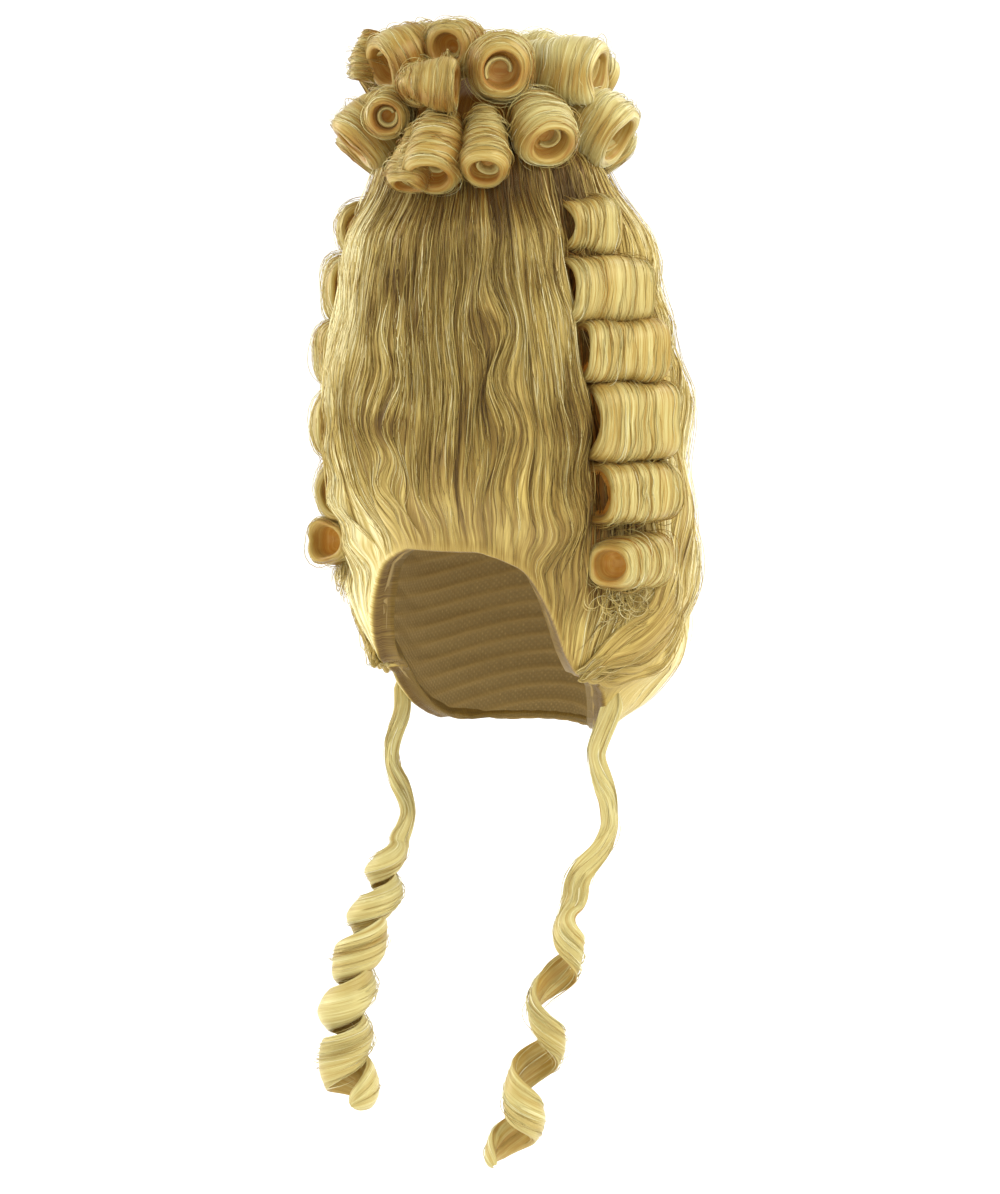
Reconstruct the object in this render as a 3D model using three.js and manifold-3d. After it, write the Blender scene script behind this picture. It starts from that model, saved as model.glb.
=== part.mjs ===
// A tall court wig, in the form that it keeps when worn. A hollow pouf of combed-up hair stands on a fitted
// cap, a stack of barrel curls is set into each side, a crown of barrel curls covers the top, a lock sweeps
// back over each ear, and one long ringlet hangs behind each ear.
// Millimetres, +Z up. The hairline arches over the face along -Y, and +X is the wearer's left. The origin is
// the top of the cap's hollow.
import * as THREE from "three";
import { LoftGeometry } from "three/addons/geometries/LoftGeometry.js";
import { mergeVertices } from "three/addons/utils/BufferGeometryUtils.js";
import Module from "manifold-3d";

const CLEARANCE = 0.3; // gap kept between two pieces that touch

// The cap's hollow
const FIT_WIDTH = 152;
const FIT_DEPTH = 194;
const FIT_DOME = 100; // from the top down to the widest level
const FIT_ROUNDNESS = 2.4; // power of the dome's outline, where 2 is an ellipse
const FIT_TAPER = 0.42; // how fast the hollow narrows below the widest level
const CAP_WALL = 2;
const STITCHING = 0.7; // gap between the cap and the hair that is stitched to it

// The hairline, as depths below the origin
const FRONT_DROP = 42;
const TEMPLE_DROP = 128;
const NAPE_DROP = 176;

// The pouf
const POUF_RISE = 268; // from the origin up to the top of the mound under the crown curls
const NECK_RISE = 213; // level where the pouf steps in to the mound
const POUF_HALF_WIDTH = 121;
const POUF_HALF_DEPTH = 121;
const MOUND_RADIUS = 57;
const TOP_LEAN = 27; // how far the mound stands forward of the cap
const BACK_LEAN = 25; // how far the back of the pouf stands behind the cap
const HAIR_WALL = 14;
const HEM = 5; // thickness of the hair at the hairline
const SWELL = 90; // height over which the pouf rounds out from the temple
const SWELL_POWER = 0.9; // below 1 the hair leaves the hairline more steeply
const WAVE = 2.4; // height of the combed waves
const CHANNEL_DEPTH = 20; // recess that holds a stack of side curls
const CHANNEL_TURN = 73; // degrees round from the front
const CHANNEL_SPREAD = 19; // degrees from the channel's middle to its front edge
const CHANNEL_BACK = 1.35; // the same to its back edge, in spreads
const CHANNEL_LOW = -0.42; // its lower end, in nape depths
const CHANNEL_HIGH = 0.93; // its upper end, in neck heights

// The side curls
const SIDE_REACH = 111; // from the pouf's axis to a curl's axis
const SIDE_TURN = 75; // degrees round from the front
const SIDE_LENGTH = 60;
const SIDE_RADIUS = 21;
const SIDE_BORE = 13;
const SIDE_ROOT = 0.9; // share of its radius that a curl has at its pinned end
const SIDE_FLARE = 30; // degrees that a curl turns outwards from straight back

// The crown curls
const CURL_LENGTH = 54;
const CURL_RADIUS = 20;
const CURL_BORE = 11;
const CURL_ROOT = 0.62; // share of its radius that a curl has at its pinned end

// The swept locks
const SWEEP_WIDTH = 27;
const SWEEP_THICKNESS = 9;
const SWEEP_PROUD = 0.2; // how far a lock's middle stands off the pouf, in thicknesses

// The ringlets
const RINGLET_COIL = 25; // width of the lock where it is tightly curled
const RINGLET_THICKNESS = 18; // the same, from front to back
const RINGLET_DROP = 140; // from the origin down to the top of a ringlet
const RINGLET_LENGTH_LEFT = 303;
const RINGLET_LENGTH_RIGHT = 277;
const RINGLET_SPREAD = 80; // how far out a ringlet hangs
const RINGLET_REACH = 100; // how far forward its free end hangs

const BLOND = new THREE.MeshStandardMaterial({ color: 0xc9a552, roughness: 0.55, metalness: 0 });
const BLOND_LIGHT = new THREE.MeshStandardMaterial({ color: 0xd8b868, roughness: 0.5, metalness: 0 });
const CAP_NET = new THREE.MeshStandardMaterial({ color: 0x8a6a35, roughness: 0.9, metalness: 0 });

const COLUMNS = 40; // facets round the cap and the pouf
const SIDE_CURL_SIDES = 11;
const CROWN_CURL_SIDES = 8;
const LOCK_SIDES = 7;

const wasm = await Module();
wasm.setup();

const radians = THREE.MathUtils.degToRad;
const HALF_TURN = 180;
const STEP = 1e-3; // for slopes by differences, and for points that count as one

// A smooth value between the rows of a table that is sorted by its first column
function follow(table, key, column, at) {
  const last = table.length - 1;
  if (at <= table[0][key]) return table[0][column];
  if (at >= table[last][key]) return table[last][column];
  const i = table.findIndex((row) => row[key] > at) - 1;
  const slope = (a, b) => (table[b][column] - table[a][column]) / (table[b][key] - table[a][key]);
  const tangent = (k) => {
    if (k === 0 || k === last) return 0;
    const [before, after] = [slope(k - 1, k), slope(k, k + 1)];
    return before * after <= 0 ? 0 : (2 * before * after) / (before + after);
  };
  const span = table[i + 1][key] - table[i][key];
  const t = (at - table[i][key]) / span;
  const [t2, t3] = [t * t, t * t * t];
  return (
    table[i][column] * (2 * t3 - 3 * t2 + 1) +
    tangent(i) * span * (t3 - 2 * t2 + t) +
    table[i + 1][column] * (3 * t2 - 2 * t3) +
    tangent(i + 1) * span * (t3 - t2)
  );
}

// Degrees round from the front, the same on both sides
function folded(turn) {
  const round = ((turn % 360) + 360) % 360;
  return Math.min(round, 360 - round);
}

// A bell from 1 at the middle to 0 at the given spreads, with a flat top
function bell(offset, before, after) {
  const t = Math.min(1, Math.abs(offset) / (offset < 0 ? before : after));
  return 1 - t ** 4 * (5 - 4 * t);
}

// The hairline round from the front: its depth and how tall the hair's first rounding is
const HAIRLINE = [
  { turn: 0, drop: FRONT_DROP, swell: 0.5 * SWELL },
  { turn: 13, drop: 1.01 * FRONT_DROP, swell: 0.5 * SWELL },
  { turn: 26, drop: 1.1 * FRONT_DROP, swell: 0.55 * SWELL },
  { turn: 37, drop: 0.43 * TEMPLE_DROP, swell: 0.65 * SWELL },
  { turn: 45, drop: 0.6 * TEMPLE_DROP, swell: 0.8 * SWELL },
  { turn: 53, drop: 0.84 * TEMPLE_DROP, swell: 0.95 * SWELL },
  { turn: 61, drop: TEMPLE_DROP, swell: SWELL },
  { turn: 70, drop: 0.99 * TEMPLE_DROP, swell: SWELL },
  { turn: 78, drop: 1.04 * TEMPLE_DROP, swell: 0.95 * SWELL },
  { turn: 86, drop: 0.84 * NAPE_DROP, swell: 0.8 * SWELL },
  { turn: 98, drop: 0.93 * NAPE_DROP, swell: 0.66 * SWELL },
  { turn: 118, drop: 0.98 * NAPE_DROP, swell: 0.58 * SWELL },
  { turn: HALF_TURN, drop: NAPE_DROP, swell: 0.56 * SWELL },
];

// The pouf's outline, level by level: half width, half depth, the middle's place behind the axis, and the
// power of the outline
const SECTIONS = [
  { level: -NAPE_DROP, half: 0.74, depth: 0.8, lean: 0.72 * BACK_LEAN, power: 2.3 },
  { level: -0.77 * NAPE_DROP, half: 0.87, depth: 0.93, lean: 0.98 * BACK_LEAN, power: 2.35 },
  { level: -0.53 * NAPE_DROP, half: 0.94, depth: 0.965, lean: BACK_LEAN, power: 2.4 },
  { level: -0.26 * NAPE_DROP, half: 0.98, depth: 0.99, lean: 0.68 * BACK_LEAN, power: 2.3 },
  { level: 0.03 * POUF_RISE, half: 1, depth: 1, lean: 0.18 * BACK_LEAN, power: 2.2 },
  { level: 0.25 * NECK_RISE, half: 0.985, depth: 0.975, lean: -0.06 * TOP_LEAN, power: 2.15 },
  { level: 0.54 * NECK_RISE, half: 0.925, depth: 0.905, lean: -0.24 * TOP_LEAN, power: 2.1 },
  { level: 0.73 * NECK_RISE, half: 0.855, depth: 0.8, lean: -0.6 * TOP_LEAN, power: 2.05 },
  { level: 0.92 * NECK_RISE, half: 0.74, depth: 0.7, lean: -0.8 * TOP_LEAN, power: 2 },
  { level: NECK_RISE, half: 0.69, depth: 0.64, lean: -0.9 * TOP_LEAN, power: 2 },
];

// The mound under the crown curls: how far up it each level is, and its share of the mound's radius
const MOUND = [
  { up: 0.28, girth: 1.06 },
  { up: 0.6, girth: 0.98 },
  { up: 0.84, girth: 0.74 },
  { up: 0.98, girth: 0.36 },
];

const MOUND_RISE = POUF_RISE - NECK_RISE;
const OUTLINE = [
  ...SECTIONS.map((row) => ({
    ...row,
    half: row.half * POUF_HALF_WIDTH,
    depth: row.depth * POUF_HALF_DEPTH,
  })),
  ...MOUND.map((row) => ({
    level: NECK_RISE + row.up * MOUND_RISE,
    half: row.girth * MOUND_RADIUS,
    depth: row.girth * MOUND_RADIUS,
    lean: -TOP_LEAN,
    power: 2,
  })),
];

const hairline = (turn, column) => follow(HAIRLINE, "turn", column, folded(turn));
const outline = (level, column) => follow(OUTLINE, "level", column, level);

// How wide the hollow is at a level, as a share of its widest
function fitShare(level) {
  const down = Math.max(0, -level / FIT_DOME);
  if (down > 1) return 1 - FIT_TAPER * (down - 1) ** 2;
  return (1 - (1 - down) ** FIT_ROUNDNESS) ** (1 / FIT_ROUNDNESS);
}

// The hollow's radius about the axis, with an even thickness added to it
function fitRadius(turn, level, added) {
  const [s, c] = [Math.sin(radians(turn)), Math.cos(radians(turn))];
  const [half, depth] = [FIT_WIDTH / 2 + added, FIT_DEPTH / 2 + added];
  return fitShare(level) / Math.hypot(s / half, c / depth);
}

// The axis from which the pouf's radii are measured leans forward above the cap
const spine = (level) => -TOP_LEAN * THREE.MathUtils.smoothstep(level, 0, NECK_RISE);

// The pouf's full radius about the spine, from the outline that is centred in front of it or behind it
function fullRadius(turn, level) {
  const [s, c] = [Math.sin(radians(turn)), Math.cos(radians(turn))];
  const [half, depth] = [outline(level, "half"), outline(level, "depth")];
  const [shift, power] = [outline(level, "lean") - spine(level), outline(level, "power")];
  let [near, far] = [0, 3 * (POUF_HALF_DEPTH + POUF_HALF_WIDTH)];
  for (let i = 0; i < 40; i++) {
    const r = (near + far) / 2;
    const reach = Math.abs((r * s) / half) ** power + Math.abs((r * c + shift) / depth) ** power;
    if (reach < 1) near = r;
    else far = r;
  }
  return near;
}

// The recess for the side curls, and the combed waves, as changes of radius
function channel(turn, level) {
  const across = bell(folded(turn) - CHANNEL_TURN, CHANNEL_SPREAD, CHANNEL_BACK * CHANNEL_SPREAD);
  const [low, high] = [CHANNEL_LOW * NAPE_DROP, CHANNEL_HIGH * NECK_RISE];
  const middle = (low + high) / 2;
  return CHANNEL_DEPTH * across * bell(level - middle, middle - low, high - middle);
}

function waves(turn, level) {
  const fade = bell(level, NAPE_DROP, NECK_RISE);
  const [around, up] = [radians(turn), (2 * Math.PI * level) / NECK_RISE];
  return WAVE * fade * (Math.sin(5 * around + 2.2 * up) + 0.6 * Math.sin(9 * around - 3.1 * up));
}

// The pouf's outer radius about the spine
function poufRadius(turn, level) {
  const full = fullRadius(turn, level) - channel(turn, level) + waves(turn, level);
  const hem = fitRadius(turn, level, CAP_WALL + CLEARANCE + HEM);
  const up = (level + hairline(turn, "drop")) / hairline(turn, "swell");
  if (up >= 1) return full;
  return hem + (full - hem) * Math.sin((Math.PI / 2) * Math.max(0, up)) ** SWELL_POWER;
}

const at = (turn, radius, level, middle) =>
  new THREE.Vector3(
    radius * Math.sin(radians(turn)),
    middle - radius * Math.cos(radians(turn)),
    level,
  );

// Rows up the pouf: shares of the hairline's depth, then shares of the neck's and the mound's height. The
// cap has the same rows below, so that the hair lies flat on it.
const LOW_ROWS = [1, 0.97, 0.88, 0.74, 0.56, 0.36, 0.16];
const CAP_ROWS = [...LOW_ROWS, 0.06, 0.015];
const HIGH_ROWS = [0.06, 0.2, 0.35, 0.5, 0.64, 0.77, 0.89, 1];
const MOUND_ROWS = MOUND.map((row) => row.up);
const POUF_ROWS = [
  ...LOW_ROWS.map((share) => (turn) => -share * hairline(turn, "drop")),
  ...HIGH_ROWS.map((share) => () => share * NECK_RISE),
  ...MOUND_ROWS.map((share) => () => NECK_RISE + share * MOUND_RISE),
];

// Columns run counterclockwise as seen from above, so that faces point out when the rows run upwards
const TURNS = Array.from({ length: COLUMNS }, (_, i) => (360 * i) / COLUMNS);

const poufPoint = (turn, level) => at(turn, poufRadius(turn, level), level, spine(level));

// The way that the pouf's outside faces
function poufNormal(turn, level) {
  const along = poufPoint(turn + STEP, level).sub(poufPoint(turn - STEP, level));
  const up = poufPoint(turn, level + STEP).sub(poufPoint(turn, level - STEP));
  return along.cross(up).normalize();
}

// A ring of the pouf's outside, moved out along its normal
function poufRing(row, added) {
  return TURNS.map((turn) => {
    const level = POUF_ROWS[row](turn);
    return poufPoint(turn, level).addScaledVector(poufNormal(turn, level), added);
  });
}

// A ring of the pouf's inside. It lies on the cap near the hairline, and sinks under the mound's top
function innerRing(row) {
  return TURNS.map((turn) => {
    const outer = POUF_ROWS[row](turn);
    const sink = THREE.MathUtils.smoothstep(outer, 0.85 * NECK_RISE, POUF_RISE);
    const level = outer - HAIR_WALL * sink;
    const wall = HAIR_WALL * (1 - 0.5 * sink);
    const cap = level < 0 ? fitRadius(turn, level, CAP_WALL + STITCHING) : 0;
    const radius = Math.max(poufRadius(turn, outer) - wall, cap);
    return at(turn, radius, level, spine(outer));
  });
}

// Solids and meshes

// A closed geometry as a manifold solid
function solidOf(geometry) {
  const bare = geometry.index ? geometry.toNonIndexed() : geometry.clone();
  const shape = new THREE.BufferGeometry().setAttribute("position", bare.getAttribute("position"));
  const merged = mergeVertices(shape, STEP);
  const index = merged.index.array;
  const kept = [];
  for (let i = 0; i < index.length; i += 3) {
    const [a, b, c] = [index[i], index[i + 1], index[i + 2]];
    if (a !== b && b !== c && c !== a) kept.push(a, b, c);
  }
  const solid = new wasm.Manifold(
    new wasm.Mesh({
      numProp: 3,
      vertProperties: merged.attributes.position.array,
      triVerts: new Uint32Array(kept),
    }),
  );
  if (solid.volume() < 0) throw new Error("a piece is inside out");
  return solid;
}

function geometryOf(solid) {
  const mesh = solid.getMesh();
  const position = new Float32Array(3 * mesh.numVert);
  for (let i = 0; i < mesh.numVert; i++) {
    position.set(mesh.vertProperties.subarray(i * mesh.numProp, i * mesh.numProp + 3), 3 * i);
  }
  return new THREE.BufferGeometry()
    .setAttribute("position", new THREE.BufferAttribute(position, 3))
    .setIndex(new THREE.BufferAttribute(mesh.triVerts, 1));
}

// The same piece for the other side of the head
function mirrored(geometry) {
  const flip = new THREE.Matrix4().makeScale(-1, 1, 1);
  const other = new THREE.BufferGeometry().copy(geometry).applyMatrix4(flip);
  const index = other.index.array;
  for (let i = 0; i < index.length; i += 3) [index[i], index[i + 1]] = [index[i + 1], index[i]];
  return other;
}

// The largest body of a solid, for a cut that leaves a crumb beside it
function largest(solid) {
  return solid.decompose().sort((a, b) => b.volume() - a.volume())[0];
}

const wig = new THREE.Group();

// Adds a piece that was cut in the wig's frame, as a mesh that stands at its own place
function addPiece(name, solid, material, place = new THREE.Matrix4()) {
  const geometry = geometryOf(solid).applyMatrix4(place.clone().invert());
  geometry.computeVertexNormals();
  const mesh = new THREE.Mesh(geometry, material);
  mesh.name = name;
  mesh.applyMatrix4(place);
  wig.add(mesh);
}

// A ring drawn together to one point of the axis
const peak = (level, lean) => TURNS.map(() => new THREE.Vector3(0, lean, level));

// A wall between two stacks of rings, closed at the top of each by a peak and open below
function wallOf(inside, innerPeak, outside, outerPeak) {
  return solidOf(new LoftGeometry([innerPeak, ...inside.toReversed(), ...outside, outerPeak]));
}

// A ring of the cap's inside, moved out by a thickness
function capRing(share, added) {
  return TURNS.map((turn) => {
    const level = -hairline(turn, "drop") * share;
    const lift = added * (1 - fitShare(level)) ** 2;
    return at(turn, fitRadius(turn, level, added), level + lift, 0);
  });
}

// The cap: a thin net dome that the hair is sewn to
function makeCap() {
  const inside = CAP_ROWS.map((share) => capRing(share, 0));
  const outside = CAP_ROWS.map((share) => capRing(share, CAP_WALL));
  return wallOf(inside, peak(0, 0), outside, peak(CAP_WALL, 0));
}

// The room that the cap takes, down past its rim
function makeCapRoom() {
  const added = CAP_WALL + CLEARANCE;
  const rings = CAP_ROWS.map((share) => capRing(share, added));
  const below = rings[0].map((point) => point.clone().setZ(-2 * NAPE_DROP));
  return solidOf(new LoftGeometry([below, ...rings, peak(added, 0)], { capStart: true }));
}

// The pouf: one hollow wall of combed hair, open below
function makePouf() {
  const inside = POUF_ROWS.map((_, row) => innerRing(row));
  const outside = POUF_ROWS.map((_, row) => poufRing(row, 0));
  const ceiling = POUF_RISE - HAIR_WALL;
  const [under, over] = [peak(ceiling, -TOP_LEAN), peak(POUF_RISE, -TOP_LEAN)];
  return wallOf(inside, under, outside, over).subtract(makeCapRoom());
}

// The room that the pouf takes from the pieces seated on it
function makePoufRoom() {
  const rings = POUF_ROWS.map((_, row) => poufRing(row, CLEARANCE));
  const over = peak(POUF_RISE + CLEARANCE, -TOP_LEAN);
  return solidOf(new LoftGeometry([...rings, over], { capStart: true }));
}

// A barrel curl along +Y: rolled hair with a blind bore at its mouth, narrower at its pinned end. Added is
// extra thickness all round, and a barrel that has it has no bore.
function barrel({ radius, bore, length, root, mouth, sides }, added = 0) {
  const [r, half] = [radius + added, length / 2 + added];
  const skin = [
    new THREE.Vector2(0, -half),
    new THREE.Vector2(root * r, -0.94 * half),
    new THREE.Vector2(r, 0.3 * half),
    new THREE.Vector2(0.93 * mouth * r, half),
  ];
  const hollow = [new THREE.Vector2(mouth * bore, 0.97 * half), new THREE.Vector2(0, 0.05 * half)];
  const profile = added ? [...skin, new THREE.Vector2(0, half)] : [...skin, ...hollow];
  return new THREE.LatheGeometry(profile, sides);
}

// A frame at a point with its +Y along a direction
function placeAt(point, direction) {
  const turned = new THREE.Quaternion().setFromUnitVectors(new THREE.Vector3(0, 1, 0), direction);
  return new THREE.Matrix4().compose(point, turned, new THREE.Vector3(1, 1, 1));
}

// Adds barrel curls in turn. Each is seated on the pouf and pressed against the curls laid before it
function addCurls(curls, room, material) {
  for (const curl of curls) {
    const whole = solidOf(barrel(curl).applyMatrix4(curl.place));
    addPiece(curl.name, largest(whole.subtract(room.taken)), material, curl.place);
    room.taken = room.taken.add(solidOf(barrel(curl, CLEARANCE).applyMatrix4(curl.place)));
  }
}

// The side curls from the top down: each stack's heights in neck heights, the curls' radius and length in
// shares of the whole, and their flare in flares. Inset is how far one sits into the pouf, in shares of the
// stack's reach, and mouth is a curl's width at its mouth, in shares of its own.
const SIDE_CURLS = [
  { left: 0.79, right: 0.79, girth: 0.84, long: 0.62, inset: 0.04, flare: 1, mouth: 1 },
  { left: 0.6, right: 0.6, girth: 0.98, long: 0.98, inset: 0.03, flare: 1.07, mouth: 1 },
  { left: 0.415, right: 0.4, girth: 0.92, long: 0.96, inset: 0, flare: 1.07, mouth: 1 },
  { left: 0.2, right: 0.17, girth: 1.2, long: 1.03, inset: 0.03, flare: 1, mouth: 1 },
  { left: -0.015, right: -0.04, girth: 0.96, long: 1, inset: 0.01, flare: 0.8, mouth: 1 },
  { left: -0.23, right: -0.2, girth: 0.98, long: 1, inset: 0.01, flare: 0, mouth: 0.78 },
];

function sideCurls(side, heights) {
  const mirror = side === "left" ? 1 : -1;
  return SIDE_CURLS.map((row, i) => {
    const flare = radians(row.flare * SIDE_FLARE);
    const forward = new THREE.Vector3(-mirror * Math.sin(flare), -Math.cos(flare), 0);
    const level = row[heights] * NECK_RISE;
    const shrink = fullRadius(SIDE_TURN, level) / fullRadius(SIDE_TURN, 0);
    const reach = SIDE_REACH * (shrink - row.inset);
    const point = at(mirror * SIDE_TURN, reach, level, spine(level));
    return {
      name: `side_curl_${side}_${i + 1}`,
      place: placeAt(point, forward),
      radius: row.girth * SIDE_RADIUS,
      bore: row.girth * SIDE_BORE,
      length: row.long * SIDE_LENGTH,
      root: SIDE_ROOT,
      mouth: row.mouth,
      sides: SIDE_CURL_SIDES,
    };
  });
}

// The crown curls. Turn, out and up place a curl's mouth: degrees round from the front, the distance from the
// mound's axis in mound radii, and the height above the neck in mound heights. Dip is how many degrees the
// curl points below level, and twist how many it turns from pointing straight out.
const CROWN_CURLS = [
  { turn: 4, out: 1.54, up: -0.26, dip: 56, twist: 4, girth: 0.95, long: 1 },
  { turn: 28, out: 1.54, up: -0.23, dip: 52, twist: 0, girth: 0.82, long: 1 },
  { turn: 56, out: 1.56, up: 0.11, dip: 34, twist: -6, girth: 1, long: 1.06 },
  { turn: 101, out: 1.62, up: 0.22, dip: 34, twist: 0, girth: 1.2, long: 1.1 },
  { turn: 130, out: 1.56, up: 0.04, dip: 44, twist: 6, girth: 1, long: 1.06 },
  { turn: 157, out: 1.58, up: 0.02, dip: 46, twist: 0, girth: 0.98, long: 1.06 },
  { turn: 184, out: 1.56, up: 0.06, dip: 40, twist: -6, girth: 1.04, long: 1.06 },
  { turn: 212, out: 1.58, up: 0.02, dip: 48, twist: 0, girth: 0.98, long: 1.06 },
  { turn: 239, out: 1.58, up: 0.08, dip: 40, twist: 6, girth: 1.06, long: 1.06 },
  { turn: 266, out: 1.56, up: 0.04, dip: 46, twist: 0, girth: 0.98, long: 1.06 },
  { turn: 291, out: 1.56, up: 0.02, dip: 50, twist: 0, girth: 0.9, long: 1 },
  { turn: 316, out: 1.62, up: 0.12, dip: 44, twist: -4, girth: 1, long: 1.04 },
  { turn: 352, out: 1.5, up: -0.36, dip: 68, twist: 8, girth: 0.66, long: 0.8 },
  { turn: 341, out: 1.54, up: 0.46, dip: 8, twist: 40, girth: 0.72, long: 0.9 },
  { turn: 35, out: 1.4, up: 0.94, dip: 14, twist: -6, girth: 0.98, long: 1 },
  { turn: 14, out: 1.34, up: 0.8, dip: 4, twist: 96, girth: 0.8, long: 0.62 },
  { turn: 354, out: 1.4, up: 0.76, dip: 26, twist: 20, girth: 0.56, long: 0.7 },
  { turn: 326, out: 1.34, up: 1.04, dip: 24, twist: 0, girth: 1, long: 1.04 },
  { turn: 309, out: 1.44, up: 0.92, dip: 78, twist: 0, girth: 0.52, long: 0.62 },
  { turn: 88, out: 1.5, up: 0.98, dip: 8, twist: 14, girth: 1.14, long: 1.1 },
  { turn: 126, out: 1.44, up: 0.86, dip: 22, twist: 0, girth: 1, long: 1 },
  { turn: 166, out: 1.42, up: 0.9, dip: 16, twist: 8, girth: 1.04, long: 1 },
  { turn: 206, out: 1.42, up: 0.86, dip: 22, twist: 0, girth: 1, long: 1 },
  { turn: 246, out: 1.42, up: 0.92, dip: 16, twist: -8, girth: 1.04, long: 1 },
  { turn: 284, out: 1.42, up: 0.86, dip: 24, twist: 0, girth: 0.96, long: 1 },
  { turn: 2, out: 1, up: 1.26, dip: 10, twist: 6, girth: 0.8, long: 0.95 },
  { turn: 110, out: 0.8, up: 1.16, dip: 4, twist: -40, girth: 0.9, long: 1.1 },
  { turn: 230, out: 0.84, up: 1.2, dip: 6, twist: 20, girth: 0.92, long: 1.1 },
];

function crownCurls() {
  return CROWN_CURLS.map((row, i) => {
    const heading = radians(row.turn + row.twist);
    const dip = radians(row.dip);
    const forward = new THREE.Vector3(
      Math.cos(dip) * Math.sin(heading),
      -Math.cos(dip) * Math.cos(heading),
      -Math.sin(dip),
    );
    const length = row.long * CURL_LENGTH;
    const mouth = at(row.turn, row.out * MOUND_RADIUS, NECK_RISE + row.up * MOUND_RISE, -TOP_LEAN);
    return {
      name: `crown_curl_${String(i + 1).padStart(2, "0")}`,
      place: placeAt(mouth.addScaledVector(forward, -length / 2), forward),
      radius: row.girth * CURL_RADIUS,
      bore: row.girth * CURL_BORE,
      length,
      root: CURL_ROOT,
      mouth: 1,
      sides: CROWN_CURL_SIDES,
    };
  });
}

// A lock with an oval section that follows a path, its broad side facing along a given direction
function lock(path, facings, widths, thicknesses, sides) {
  const rings = path.map((point, i) => {
    const [before, after] = [path[Math.max(0, i - 1)], path[Math.min(path.length - 1, i + 1)]];
    const along = after.clone().sub(before).normalize();
    const across = new THREE.Vector3().crossVectors(along, facings[i]).normalize();
    const out = new THREE.Vector3().crossVectors(across, along).normalize();
    return Array.from({ length: sides }, (_, k) => {
      const a = (2 * Math.PI * k) / sides;
      return point
        .clone()
        .addScaledVector(out, (Math.cos(a) * thicknesses[i]) / 2)
        .addScaledVector(across, (Math.sin(a) * widths[i]) / 2);
    });
  });
  return new LoftGeometry(rings, { capStart: true, capEnd: true });
}

// The swept lock over each ear, from under the lowest side curl forward and down to the temple
const SWEEP = [
  { turn: 105, drop: 0.46, wide: 0.5 },
  { turn: 101, drop: 0.54, wide: 0.85 },
  { turn: 95, drop: 0.63, wide: 1 },
  { turn: 90, drop: 0.73, wide: 1 },
  { turn: 83, drop: 0.82, wide: 0.9 },
  { turn: 75, drop: 0.9, wide: 0.75 },
  { turn: 68, drop: 0.95, wide: 0.55 },
  { turn: 62, drop: 0.98, wide: 0.3 },
];

function makeSweep(mirror, taken) {
  const path = SWEEP.map(({ turn, drop }) => {
    const level = -drop * TEMPLE_DROP;
    return poufPoint(turn, level).addScaledVector(poufNormal(turn, level), SWEEP_PROUD * SWEEP_THICKNESS);
  });
  const facings = SWEEP.map(({ turn, drop }) => poufNormal(turn, -drop * TEMPLE_DROP));
  const widths = SWEEP.map((row) => row.wide * SWEEP_WIDTH);
  const thicknesses = SWEEP.map((row) => Math.sqrt(row.wide) * SWEEP_THICKNESS);
  const lockOver = lock(path, facings, widths, thicknesses, LOCK_SIDES);
  const whole = solidOf(mirror > 0 ? lockOver : mirrored(lockOver));
  return largest(whole.subtract(taken));
}

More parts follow.
